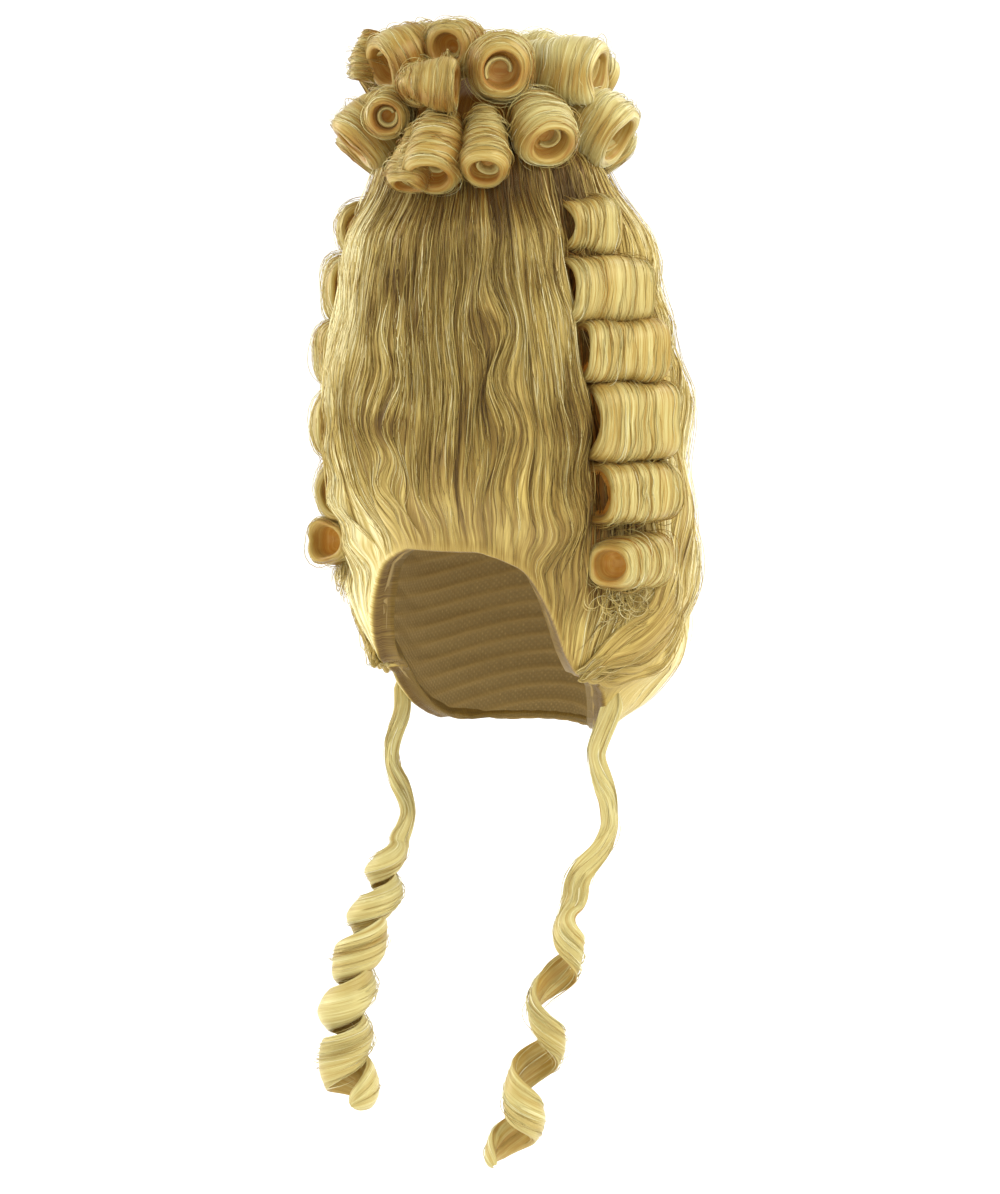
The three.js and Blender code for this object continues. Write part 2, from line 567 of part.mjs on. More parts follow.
// The ringlets' middle lines, from under the hair behind the ear down to the free end: shares of the length,
// the spread and the reach, and the lock's width in coil widths
const RINGLETS = {
  left: [
    { down: 0, out: 1.04, fore: -0.03, wide: 0.5 },
    { down: 0.05, out: 0.99, fore: -0.02, wide: 0.52 },
    { down: 0.09, out: 0.93, fore: -0.01, wide: 0.52 },
    { down: 0.14, out: 0.86, fore: 0, wide: 0.52 },
    { down: 0.19, out: 0.92, fore: 0.01, wide: 0.52 },
    { down: 0.24, out: 1.01, fore: 0.04, wide: 0.52 },
    { down: 0.31, out: 1.06, fore: 0.09, wide: 0.5 },
    { down: 0.35, out: 1.02, fore: 0.18, wide: 0.5 },
    { down: 0.38, out: 0.91, fore: 0.27, wide: 0.6 },
    { down: 0.42, out: 0.89, fore: 0.35, wide: 0.72 },
    { down: 0.48, out: 0.95, fore: 0.39, wide: 0.76 },
    { down: 0.54, out: 0.92, fore: 0.47, wide: 0.8 },
    { down: 0.59, out: 0.81, fore: 0.58, wide: 0.85 },
    { down: 0.63, out: 0.8, fore: 0.66, wide: 0.85 },
    { down: 0.68, out: 0.93, fore: 0.68, wide: 0.9 },
    { down: 0.75, out: 0.9, fore: 0.74, wide: 1 },
    { down: 0.8, out: 0.79, fore: 0.82, wide: 1 },
    { down: 0.87, out: 0.77, fore: 0.88, wide: 1.05 },
    { down: 0.93, out: 0.69, fore: 0.94, wide: 1 },
    { down: 0.97, out: 0.62, fore: 0.99, wide: 1.1 },
    { down: 1, out: 0.66, fore: 0.96, wide: 0.85 },
  ],
  right: [
    { down: 0, out: 1.04, fore: -0.03, wide: 0.45 },
    { down: 0.09, out: 1.02, fore: -0.02, wide: 0.45 },
    { down: 0.16, out: 1.09, fore: 0.03, wide: 0.45 },
    { down: 0.22, out: 1.08, fore: 0.07, wide: 0.46 },
    { down: 0.285, out: 0.96, fore: 0.09, wide: 0.5 },
    { down: 0.34, out: 0.86, fore: 0.13, wide: 0.5 },
    { down: 0.41, out: 0.88, fore: 0.24, wide: 0.52 },
    { down: 0.45, out: 0.95, fore: 0.34, wide: 0.62 },
    { down: 0.495, out: 0.91, fore: 0.39, wide: 0.85 },
    { down: 0.56, out: 0.92, fore: 0.48, wide: 0.95 },
    { down: 0.62, out: 0.96, fore: 0.59, wide: 0.95 },
    { down: 0.675, out: 1.01, fore: 0.7, wide: 0.95 },
    { down: 0.745, out: 1.03, fore: 0.79, wide: 1.05 },
    { down: 0.79, out: 0.95, fore: 0.84, wide: 1.05 },
    { down: 0.85, out: 0.96, fore: 0.91, wide: 0.95 },
    { down: 0.905, out: 0.98, fore: 0.95, wide: 1.05 },
    { down: 0.96, out: 0.91, fore: 0.97, wide: 1.15 },
    { down: 1, out: 0.84, fore: 0.96, wide: 0.95 },
  ],
};

function makeRinglet(rows, mirror, length, taken) {
  const path = rows.map(
    ({ down, out, fore }) =>
      new THREE.Vector3(
        mirror * out * RINGLET_SPREAD,
        -fore * RINGLET_REACH,
        -RINGLET_DROP - down * length,
      ),
  );
  const facings = rows.map(() => new THREE.Vector3(0.5 * mirror, -1, 0).normalize());
  const widths = rows.map((row) => row.wide * RINGLET_COIL);
  const thicknesses = rows.map((row) => row.wide * RINGLET_THICKNESS);
  return largest(solidOf(lock(path, facings, widths, thicknesses, LOCK_SIDES)).subtract(taken));
}

const poufRoom = makePoufRoom();
addPiece("cap", makeCap(), CAP_NET);
addPiece("pouf", makePouf(), BLOND);

const room = { taken: poufRoom };
addCurls(sideCurls("left", "left"), room, BLOND_LIGHT);
addCurls(sideCurls("right", "right"), room, BLOND_LIGHT);
addCurls(crownCurls(), room, BLOND_LIGHT);

addPiece("swept_lock_left", makeSweep(1, room.taken), BLOND);
addPiece("swept_lock_right", makeSweep(-1, room.taken), BLOND);
const leftRinglet = makeRinglet(RINGLETS.left, 1, RINGLET_LENGTH_LEFT, room.taken);
const rightRinglet = makeRinglet(RINGLETS.right, -1, RINGLET_LENGTH_RIGHT, room.taken);
addPiece("ringlet_left", leftRinglet, BLOND_LIGHT);
addPiece("ringlet_right", rightRinglet, BLOND_LIGHT);

export default wig;
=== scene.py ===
import math
import bmesh
import bpy
import numpy as np
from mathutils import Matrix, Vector
from mathutils.bvhtree import BVHTree


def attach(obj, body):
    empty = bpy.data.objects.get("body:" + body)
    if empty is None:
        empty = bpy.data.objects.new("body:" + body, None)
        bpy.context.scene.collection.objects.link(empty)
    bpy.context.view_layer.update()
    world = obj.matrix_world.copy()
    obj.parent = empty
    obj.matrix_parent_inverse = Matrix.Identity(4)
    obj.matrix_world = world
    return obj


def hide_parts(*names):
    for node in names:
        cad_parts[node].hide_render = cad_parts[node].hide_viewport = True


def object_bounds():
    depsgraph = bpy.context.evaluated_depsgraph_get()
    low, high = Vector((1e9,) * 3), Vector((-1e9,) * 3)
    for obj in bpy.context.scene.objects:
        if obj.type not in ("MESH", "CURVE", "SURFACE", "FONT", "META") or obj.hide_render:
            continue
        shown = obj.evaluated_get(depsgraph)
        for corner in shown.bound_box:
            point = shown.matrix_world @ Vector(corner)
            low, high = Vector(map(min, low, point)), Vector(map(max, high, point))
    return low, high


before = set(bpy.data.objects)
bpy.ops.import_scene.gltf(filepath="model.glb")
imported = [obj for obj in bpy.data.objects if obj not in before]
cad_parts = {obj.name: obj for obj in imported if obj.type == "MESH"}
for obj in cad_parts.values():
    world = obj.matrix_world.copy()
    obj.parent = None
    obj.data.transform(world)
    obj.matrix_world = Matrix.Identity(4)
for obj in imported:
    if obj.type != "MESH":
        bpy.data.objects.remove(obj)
cad_box = [list(corner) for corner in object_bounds()]
bpy.ops.object.select_all(action="DESELECT")

# The photograph's viewpoint
# The wig is seen from a little above, turned so that its left side shows, and stands whole in an upright
# picture of 1000 by 1194 pixels with only a few pixels to spare at the top and at the ringlets' ends.
VIEW_TURN = math.radians(28)
VIEW_HEIGHT = math.radians(6)
VIEW_DISTANCE = 1.9
VIEW_SIDE = -0.0034
VIEW_UP = -0.080
PIXEL = 0.00068
PICTURE_HEIGHT = 1194 * PIXEL
FILM = 24

right = Vector((math.cos(VIEW_TURN), math.sin(VIEW_TURN), 0))
ahead = Vector((
    -math.sin(VIEW_TURN) * math.cos(VIEW_HEIGHT),
    math.cos(VIEW_TURN) * math.cos(VIEW_HEIGHT),
    -math.sin(VIEW_HEIGHT),
))
above = right.cross(ahead)
place = VIEW_SIDE * right + VIEW_UP * above - VIEW_DISTANCE * ahead
bpy.ops.object.camera_add(location=place, rotation=ahead.to_track_quat("-Z", "Y").to_euler())
camera = bpy.context.object
camera.name = "camera"
camera.data.sensor_fit = "VERTICAL"
camera.data.sensor_height = FILM
camera.data.lens = FILM * VIEW_DISTANCE / PICTURE_HEIGHT
bpy.context.scene.camera = camera
bpy.context.scene.view_settings.view_transform = "Standard"

# The studio
# A pale paper floor lies below the hanging ringlets and turns up into a wall all round. A large soft light
# stands high on the wig's left, a wider and lower one on its right, one behind edges the hair, and the sky
# is pale.
FLOOR_DROP = 0.03
FLOOR_REACH = 4.0
WALL_CURVE = 2.0
WALL_STEPS = 8
WALL_RISE = 3.0
LIGHTS = [
    {"name": "key_light", "turn": 74, "rise": 36, "far": 2.2, "size": 1.5, "power": 32},
    {"name": "fill_light", "turn": -70, "rise": 20, "far": 2.4, "size": 1.8, "power": 46},
    {"name": "edge_light", "turn": 150, "rise": 42, "far": 2.4, "size": 1.2, "power": 19},
]
PAPER_GLOW = 0.28
SKY_STRENGTH = 0.6


def linear(code):
    """The linear colour of an sRGB hex code"""
    values = [int(code[i:i + 2], 16) / 255 for i in (1, 3, 5)]
    return [v / 12.92 if v <= 0.04045 else ((v + 0.055) / 1.055) ** 2.4 for v in values] + [1]


def add_node(material, kind, settings=(), **inputs):
    """A shader node with its settings, and its inputs as values or as sockets that feed them"""
    tree = material.node_tree
    node = tree.nodes.new(kind)
    for name, value in dict(settings).items():
        setattr(node, name, value)
    for name, value in inputs.items():
        socket = node.inputs[int(name[1:])] if name[0] == "_" else node.inputs[name.replace("_", " ")]
        if isinstance(value, bpy.types.NodeSocket):
            tree.links.new(value, socket)
        else:
            socket.default_value = value
    return node


def new_material(name):
    """A material with an empty tree of nodes"""
    material = bpy.data.materials.new(name)
    material.use_nodes = True
    material.node_tree.nodes.clear()
    return material


floor_level = cad_box[0][2] - FLOOR_DROP
bpy.ops.mesh.primitive_circle_add(
    vertices=96, radius=FLOOR_REACH, fill_type="NGON", location=(0, 0, floor_level)
)
floor = bpy.context.object
floor.name = "studio_floor"
bpy.ops.object.mode_set(mode="EDIT")
bpy.ops.mesh.select_all(action="SELECT")
bpy.ops.mesh.inset(thickness=FLOOR_REACH / 2)
bpy.ops.mesh.select_all(action="DESELECT")
bpy.ops.mesh.select_non_manifold(extend=False)
for i in range(WALL_STEPS):
    turned = [math.radians(90) * k / WALL_STEPS for k in (i, i + 1)]
    out = WALL_CURVE * (math.sin(turned[1]) - math.sin(turned[0]))
    rise = WALL_CURVE * (math.cos(turned[0]) - math.cos(turned[1]))
    edge = FLOOR_REACH + WALL_CURVE * math.sin(turned[0])
    bpy.ops.mesh.extrude_region_move(TRANSFORM_OT_translate={"value": (0, 0, rise)})
    bpy.ops.transform.resize(value=(1 + out / edge, 1 + out / edge, 1))
bpy.ops.mesh.extrude_region_move(TRANSFORM_OT_translate={"value": (0, 0, WALL_RISE)})
bpy.ops.mesh.select_all(action="SELECT")
bpy.ops.mesh.normals_make_consistent(inside=False)
bpy.ops.object.mode_set(mode="OBJECT")
bpy.ops.object.shade_smooth()
bpy.ops.object.transform_apply()

# Matt paper scatters light evenly, and glows a little here so that its far parts stay pale
paper = new_material("matt_paper_backdrop")
shade = add_node(
    paper, "ShaderNodeBsdfPrincipled", Base_Color=linear("#f4f4f2"), Roughness=0.9,
    Emission_Color=linear("#ffffff"), Emission_Strength=PAPER_GLOW,
)
add_node(paper, "ShaderNodeOutputMaterial", Surface=shade.outputs[0])
floor.data.materials.append(paper)

for row in LIGHTS:
    turn, rise = math.radians(row["turn"]), math.radians(row["rise"])
    away = Vector((
        math.sin(turn) * math.cos(rise), -math.cos(turn) * math.cos(rise), math.sin(rise)
    ))
    bpy.ops.object.light_add(
        type="AREA", location=row["far"] * away, rotation=(-away).to_track_quat("-Z", "Y").to_euler()
    )
    light = bpy.context.object
    light.name = row["name"]
    light.data.shape = "DISK"
    light.data.size = row["size"]
    light.data.energy = row["power"]

sky = bpy.data.worlds.new("pale_sky")
bpy.context.scene.world = sky
sky.use_nodes = True
sky.node_tree.nodes["Background"].inputs["Color"].default_value = linear("#f6f6f4")
sky.node_tree.nodes["Background"].inputs["Strength"].default_value = SKY_STRENGTH

# The combed hair
# The wig's body is long blond synthetic fibre, combed up over a hollow pouf from the hairline to the crown
# in soft waves. Its front and its back are two panels that part under the side curls.
PANELS = [
    {"name": "combed_hair_front", "turns": (-78, 78), "columns": 440, "seed": 11, "strands": 2100},
    {"name": "combed_hair_back", "turns": (75, 285), "columns": 440, "seed": 23, "strands": 1800},
]
PANEL_ROWS = 160
# Rows lie closer together towards the hairline, where strands are drawn aside
ROW_POWER = 1.5
BACK_COLUMNS = 40
BACK_ROWS = 22
HEM_ROWS = 7
HEM_DROP = 0.0015
TOP_ROWS = 7
TOP_DOME = 0.0012
TOP_SHEET = 0.004
PANEL_WALL = 0.006
# The radius at which degrees round the pouf are turned into metres across the hair
HAIR_REFERENCE = 0.12
HAIR_TOP = 0.2666
SPINE_TOP = 0.213
SPINE_LEAN = -0.027
REACH = 0.35
MAP_STEP = 2
MAP_TURNS = np.arange(0, 360, MAP_STEP)
MAP_LEVELS = np.linspace(-0.179, HAIR_TOP + 0.0008, 150)
# Waves of the hair: their length, and how far they stand out and swing aside
HAIR_WAVE = 0.066
WAVE_RELIEF = 0.0021
WAVE_SWING = 0.0042
# The crevice along the side curls, and the hollow under the crown curls, by turns in degrees and depths
CURL_TURN = 73
EDGE_TURN = 62
EDGE_WIDTH = 5.5
EDGE_DEPTH = 0.007
CROWN_DEPTH = 0.009
# Painted light: the strength of an orange-brown glow in the crevice and in the hollow under the crown curls
PAINTED_CREVICE_GLOW = 0.25
PAINTED_CROWN_GLOW = 0.12
# How many degrees the lower hair is drawn forward from behind the curls
SWEPT_TURN = 38
STRAND_POINTS = 15
STRAND_WIDTH = 0.00055
NOISE_TABLE = 256
# Painted shade: the dark tone of the hem's rows that roll in under the hairline
HEM_SHADE_TONE = 0.06
BACK_TONE = 0.25


def smooth_step(t):
    """A smooth rise from 0 to 1 as t goes from 0 to 1"""
    t = np.clip(t, 0, 1)
    return t ** 2 * (3 - 2 * t)


def between(value, s, t):
    """A mix of four neighbours that value gives by their steps across and along"""
    return (1 - t) * ((1 - s) * value(0, 0) + s * value(1, 0)) + t * (
        (1 - s) * value(0, 1) + s * value(1, 1)
    )


def noise(seed, across, along):
    """Smooth random values from -1 to 1, one for each unit across and along"""
    table = np.random.default_rng(seed).uniform(-1, 1, (NOISE_TABLE, NOISE_TABLE))
    column, row = np.floor(across).astype(int), np.floor(along).astype(int)
    s, t = smooth_step(across - column), smooth_step(along - row)
    return between(lambda i, j: table[(column + i) % NOISE_TABLE, (row + j) % NOISE_TABLE], s, t)


# The grain of combed hair, from wide locks down to single strands: the width and length of each size in
# metres, how far it stands out, and how much it lightens the hair. A lock's value is 0 at its edges. Locks
# and ridges are lighter where they stand out and darker where they sink, which paints shade into the creases
# between them; streaks only vary the strands' own tone.
GRAIN = [
    {"kind": "lock", "wide": 0.017, "long": 0.15, "relief": 0.0012, "tone": 0.08, "mean": 0.5},
    {"kind": "lock", "wide": 0.0062, "long": 0.1, "relief": 0.0007, "tone": 0.1, "mean": 0.4},
    {"kind": "ridge", "wide": 0.0026, "long": 0.055, "relief": 0.00025, "tone": 0.05, "mean": 0},
    {"kind": "ridge", "wide": 0.0012, "long": 0.04, "relief": 0.00018, "tone": 0.1, "mean": 0},
    {"kind": "streak", "wide": 0.003, "long": 0.2, "relief": 0, "tone": 0.05, "mean": 0},
    {"kind": "streak", "wide": 0.0009, "long": 0.06, "relief": 0, "tone": 0.1, "mean": 0},
]
MEAN_TONE = 0.48
LOCK_ROUNDNESS = 0.8


def strands(seed, across, along, locks=1.0, ridges=1.0):
    """The relief of combed strands in metres, and how light or dark each one is"""
    across = across + 0.0022 * noise(seed, across / 0.03, along / 0.06)
    relief, tone = 0, MEAN_TONE
    for k, row in enumerate(GRAIN):
        value = noise(seed + 1 + k, across / row["wide"], along / row["long"])
        if row["kind"] == "lock":
            value = locks * (np.abs(value) ** LOCK_ROUNDNESS - row["mean"])
        relief = relief + (ridges if row["kind"] == "ridge" else 1) * row["relief"] * value
        tone = tone + row["tone"] * value
    return relief, tone


def laid_swatch(name, points):
    """A flat swatch of fibre, with its rows and columns of points moved to their places"""
    rows, columns = points.shape[:2]
    bpy.ops.object.select_all(action="DESELECT")
    bpy.ops.mesh.primitive_grid_add(x_subdivisions=columns - 1, y_subdivisions=rows - 1)
    piece = bpy.context.object
    piece.name = piece.data.name = name
    piece.data.vertices.foreach_set("co", points.reshape(-1))
    return piece


def close_swatch(piece, edit):
    """Edits the swatch's faces, then turns them all outwards"""
    shape = bmesh.new()
    shape.from_mesh(piece.data)
    shape.verts.ensure_lookup_table()
    edit(shape)
    bmesh.ops.recalc_face_normals(shape, faces=shape.faces)
    shape.to_mesh(piece.data)
    shape.free()


def close_tube(piece, index):
    """Joins the last column of the swatch's grid to its first, and closes its two ends"""

    def edit(mesh):
        for above_it, below in zip(index[:-1], index[1:]):
            mesh.faces.new([mesh.verts[i] for i in (above_it[-1], below[-1], below[0], above_it[0])])
        mesh.faces.new([mesh.verts[i] for i in index[0]])
        mesh.faces.new([mesh.verts[i] for i in index[-1, ::-1]])

    close_swatch(piece, edit)


def comb(piece, across, along, tone, painted_glow=0.0):
    """Stores how the strands run, in metres, their tone, and the strength of a painted glow, as of light
    through them from behind
    """
    for other in list(piece.data.uv_layers):
        piece.data.uv_layers.remove(other)
    layer = piece.data.uv_layers.new(name="strand")
    corner = np.zeros(len(piece.data.loops), int)
    piece.data.loops.foreach_get("vertex_index", corner)
    layer.data.foreach_set("uv", np.stack([across, along], 1)[corner].reshape(-1))
    for name, values in (("tone", tone), ("painted_glow", painted_glow + 0 * tone)):
        attribute = piece.data.attributes.new(name, "FLOAT", "POINT")
        attribute.data.foreach_set("value", values.astype(np.float32))
    piece.data.polygons.foreach_set("use_smooth", np.ones(len(piece.data.polygons), bool))
    piece.data.update()


def hair(name, dark, low, middle, light, roughness=0.42):
    """Synthetic fibre: smooth plastic strands with a long soft gloss that runs across them"""
    material = new_material(name)
    strand = add_node(material, "ShaderNodeUVMap", {"uv_map": "strand"})
    tone = add_node(material, "ShaderNodeAttribute", {"attribute_name": "tone"})
    # A strand is 0.08 mm thick, and is drawn seven times as coarse so that it shows
    spread = add_node(
        material, "ShaderNodeMapping", Vector=strand.outputs[0], Scale=(1 / 0.0006, 1 / 0.02, 1)
    )
    fibre = add_node(material, "ShaderNodeTexNoise", Vector=spread.outputs[0], Scale=1, Detail=3)
    lift = add_node(
        material, "ShaderNodeMath", {"operation": "MULTIPLY_ADD"},
        _0=fibre.outputs["Fac"], _1=0.6, _2=-0.3,
    )
    level = add_node(
        material, "ShaderNodeMath", {"operation": "ADD"}, _0=tone.outputs["Fac"], _1=lift.outputs[0]
    )
    ramp = add_node(material, "ShaderNodeValToRGB", Fac=level.outputs[0])
    stops = ramp.color_ramp.elements
    stops[0].position, stops[0].color = 0.0, linear(dark)
    stops[1].position, stops[1].color = 0.95, linear(light)
    for position, colour in ((0.35, low), (0.62, middle)):
        stops.new(position).color = linear(colour)
    bump = add_node(
        material, "ShaderNodeBump", Height=fibre.outputs["Fac"], Strength=0.8, Distance=0.0004
    )
    tangent = add_node(material, "ShaderNodeTangent", {"direction_type": "UV_MAP", "uv_map": "strand"})
    shader = add_node(
        material, "ShaderNodeBsdfPrincipled",
        Base_Color=ramp.outputs[0], Roughness=roughness, Anisotropic=0.7,
        Normal=bump.outputs[0], Tangent=tangent.outputs[0],
    )
    # Painted light: an orange-brown glow stands in for light that comes through the thin hair round a hollow
    painted_glow = add_node(material, "ShaderNodeAttribute", {"attribute_name": "painted_glow"})
    material.node_tree.links.new(painted_glow.outputs["Fac"], shader.inputs["Emission Strength"])
    shader.inputs["Emission Color"].default_value = linear("#a8651e")
    shader.inputs["Specular Tint"].default_value = linear("#f6e8bc")
    shader.inputs["Sheen Weight"].default_value = 0.08
    shader.inputs["Sheen Roughness"].default_value = 0.5
    shader.inputs["Sheen Tint"].default_value = linear("#f6e8bc")
    add_node(material, "ShaderNodeOutputMaterial", Surface=shader.outputs[0])
    return material


BLOND = hair("golden_synthetic_fibre", "#4e330d", "#8c7033", "#c2aa60", "#f4ecbc")


def surface_of(node):
    """A CAD node's surface, for rays that measure it"""
    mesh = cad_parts[node].data
    return BVHTree.FromPolygons([v.co for v in mesh.vertices], [p.vertices[:] for p in mesh.polygons])


def spine(level):
    """The pouf's axis leans forward as it rises"""
    return SPINE_LEAN * smooth_step(level / SPINE_TOP)


def spot(turn, radius, level):
    """Points at turns in degrees from the front, counterclockwise seen from above"""
    angle = np.radians(turn)
    return np.stack(
        [radius * np.sin(angle), spine(level) - radius * np.cos(angle), level + 0 * angle], -1
    )


def bell(n):
    """Weights of a smooth bell, n steps wide at each side, that sum to 1"""
    weights = np.exp(-0.5 * (np.arange(-3 * n, 3 * n + 1) / n) ** 2)
    return weights / weights.sum()


def soften(values, turns, rows):
    """A grid of values by turn and level, smoothed over a few of its turns and rows"""
    for axis, n, mode in ((0, turns, "wrap"), (1, rows, "edge")):
        weights = bell(n)
        padding = [(0, 0), (0, 0)]
        padding[axis] = (3 * n, 3 * n)
        padded = np.pad(values, padding, mode=mode)
        values = np.apply_along_axis(lambda line: np.convolve(line, weights, "valid"), axis, padded)
    return values


pouf = surface_of("pouf")


def measured(outside):
    """The pouf's radius about its spine, for each turn and level"""
    radius = np.full((len(MAP_TURNS), len(MAP_LEVELS)), np.nan)
    for i, turn in enumerate(MAP_TURNS):
        for j, level in enumerate(MAP_LEVELS):
            axis, rim = (Vector(spot(turn, r, level)) for r in (0, REACH))
            start, end = (rim, axis) if outside else (axis, rim)
            hit = pouf.ray_cast(start, (end - start).normalized(), REACH)[0]
            if hit is not None:
                radius[i, j] = (hit - axis).length
    hairline = np.array([MAP_LEVELS[np.isfinite(line).argmax()] for line in radius])
    for line in radius:
        first = np.isfinite(line).argmax()
        line[:first] = line[first]
    return soften(radius, 2, 2), hairline


outer_map, hairline_map = measured(True)
inner_map, _ = measured(False)
hairline_map = soften(np.tile(hairline_map[:, None], (1, 2)), 1, 1)[:, 0]


def looked_up(radius_map, turn, level):
    """Values of the map between its turns and levels"""
    x = (turn % 360) / MAP_STEP
    y = np.clip(np.interp(level, MAP_LEVELS, np.arange(len(MAP_LEVELS))), 0, len(MAP_LEVELS) - 1.001)
    i, j = np.floor(x).astype(int), np.floor(y).astype(int)
    return between(lambda a, b: radius_map[(i + a) % len(MAP_TURNS), j + b], x - i, y - j)


def hairline(turn):
    """The level of the hair's lower edge at a turn"""
    return np.interp(turn % 360, np.append(MAP_TURNS, 360), np.append(hairline_map, hairline_map[0]))


def meridians(turns, rows):
    """Levels up the pouf at each turn, and the lengths along its surface down from the top"""
    levels, lengths = [], []
    for turn in turns:
        fine = np.linspace(hairline(np.array(turn)), HAIR_TOP, 200)
        radius = looked_up(outer_map, np.full(200, turn), fine)
        steps = np.hypot(np.diff(radius), np.diff(fine))
        run = np.concatenate([[0], np.cumsum(steps)])
        spread = run[-1] * np.linspace(0, 1, rows) ** ROW_POWER
        levels.append(np.interp(spread, run, fine))
        lengths.append(run[-1] - spread)
    return np.array(levels).T, np.array(lengths).T


def drawn_forward(turn, level):
    """How many degrees the hair behind the curls is drawn towards the hairline's front corner"""
    signed = (turn + 180) % 360 - 180
    behind = smooth_step((np.abs(signed) - 76) / 10) * smooth_step((178 - np.abs(signed)) / 70)
    return np.sign(signed) * SWEPT_TURN * behind * smooth_step((-0.045 - level) / 0.085)


def window(value, low, high, blur):
    """1 between low and high, and falling smoothly to 0 at both"""
    return smooth_step((value - low) / blur) * smooth_step((high - value) / blur)


# Slow changes over the combed hair: how wide and long each is in metres, and how strong
SWELLS = {
    "phase": {"wide": 0.03, "long": 0.12, "strong": 0.9},
    "strength": {"wide": 0.03, "long": 0.07, "strong": 0.9},
    "bulge": {"wide": 0.045, "long": 0.045, "strong": 0.0034},
    "drift": {"wide": 0.05, "long": 0.12, "strong": 0.006},
    "lump": {"wide": 0.02, "long": 0.035, "strong": 0.0016},
    "shade": {"wide": 0.03, "long": 0.05, "strong": 0.14},
    "shade_patch": {"wide": 0.022, "long": 0.032, "strong": 1},
}
# Painted shade and painted light on the combed hair: how much darker or lighter it is in places, where 0 is
# the darkest tone and 1 the lightest. It is painted darker, as shade, along the hem, where it tucks under the
# side curls, under the crown curls, in the crevice beside them and in scattered patches, and painted lighter,
# as light, round its back and on the wig's right side; all darkens it evenly
PAINTED_SHADE_AND_LIGHT = {
    "hem": -0.06, "tucked_shade": -0.12, "shade_under_crown": -0.2, "crevice": -0.08, "shade_patch": -0.2, "all": -0.05,
    "back": 0.24, "light_on_right_side": 0.36,
}


def combed(turn, level, length, start, seed):
    """Places, positions across, tones with painted light and shade, and painted glow of combed hair at turns
    and levels of the pouf. Start is the length from the hairline, and length the length down from the crown."""
    across = np.radians(turn + drawn_forward(turn, level)) * HAIR_REFERENCE
    swell = {
        name: row["strong"] * noise(seed + 7 + k, across / row["wide"], length / row["long"])
        for k, (name, row) in enumerate(SWELLS.items())
    }
    lying, raised = smooth_step(start / 0.025), smooth_step(start / 0.008)
    strength = np.clip(0.65 + swell["strength"], 0, 1.4) * lying * smooth_step((length - 0.09) / 0.1)
    phase = 2 * np.pi * (length / HAIR_WAVE + swell["phase"])
    relief, tone = strands(seed, across, length)
    plain = raised * (1 - 0.7 * smooth_step(np.abs(drawn_forward(turn, level)) / 24))
    relief = relief * (0.03 + 0.97 * plain) + WAVE_RELIEF * strength * np.cos(phase)
    relief += lying * (swell["bulge"] + swell["lump"])
    sideways = WAVE_SWING * strength * np.sin(phase) + swell["drift"]
    moved = turn + np.degrees(sideways / HAIR_REFERENCE)
    radius = looked_up(outer_map, moved, level) + relief

    # Painted shade and light: the hair is darker along the hem, where it tucks under the side curls, under
    # the crown curls, in the crevice beside them and in scattered patches, and lighter round its back and on
    # the wig's right side; a painted orange-brown glow lies in the crevice and under the crown curls
    from_front = np.abs((moved + 180) % 360 - 180)
    tucked_shade = smooth_step((18 - np.abs(from_front - CURL_TURN)) / 9) * window(level, -0.09, 0.2, 0.03)
    crevice = smooth_step((EDGE_WIDTH - np.abs(from_front - EDGE_TURN)) / 3.5)
    crevice = crevice * window(level, -0.075, 0.185, 0.02)
    shade_under_crown = smooth_step(1 - (length - 0.095) / 0.05)
    beneath = smooth_step(1 - (length - 0.1) / 0.035)

    tone = tone + PAINTED_SHADE_AND_LIGHT["hem"] * (1 - smooth_step(start / 0.01)) + PAINTED_SHADE_AND_LIGHT["tucked_shade"] * tucked_shade
    tone = tone + PAINTED_SHADE_AND_LIGHT["shade_under_crown"] * shade_under_crown + PAINTED_SHADE_AND_LIGHT["crevice"] * crevice
    tone = 0.5 + (0.22 + 1.13 * plain) * (tone - 0.5) + lying * swell["shade"]
    shade_patch = smooth_step((swell["shade_patch"] - 0.2) / 0.5) * smooth_step((start - 0.03) / 0.06)
    signed = (turn + 180) % 360 - 180
    back = smooth_step((np.abs(signed) - 80) / 16) * smooth_step((165 - np.abs(signed)) / 40)
    light_on_right_side = smooth_step((-4 - signed) / 46) * smooth_step((signed + 100) / 20)
    tone += PAINTED_SHADE_AND_LIGHT["shade_patch"] * shade_patch + PAINTED_SHADE_AND_LIGHT["back"] * back + PAINTED_SHADE_AND_LIGHT["light_on_right_side"] * light_on_right_side
    tone += PAINTED_SHADE_AND_LIGHT["all"]
    sunk = EDGE_DEPTH * crevice + CROWN_DEPTH * beneath
    return spot(moved, radius - sunk, level), across, tone, PAINTED_CREVICE_GLOW * crevice + PAINTED_CROWN_GLOW * beneath


def zip_edges(outer, inner, reverse):
    """Triangles between two lines of points that have different numbers of them"""
    faces, i, j = [], 0, 0
    while i < len(outer) - 1 or j < len(inner) - 1:
        ahead_outer = (i + 1) / (len(outer) - 1)
        ahead_inner = (j + 1) / (len(inner) - 1)
        if j == len(inner) - 1 or (i < len(outer) - 1 and ahead_outer <= ahead_inner):
            faces.append((outer[i], outer[i + 1], inner[j]))
            i += 1
        else:
            faces.append((outer[i], inner[j + 1], inner[j]))
            j += 1
    return [face[::-1] if reverse else face for face in faces]


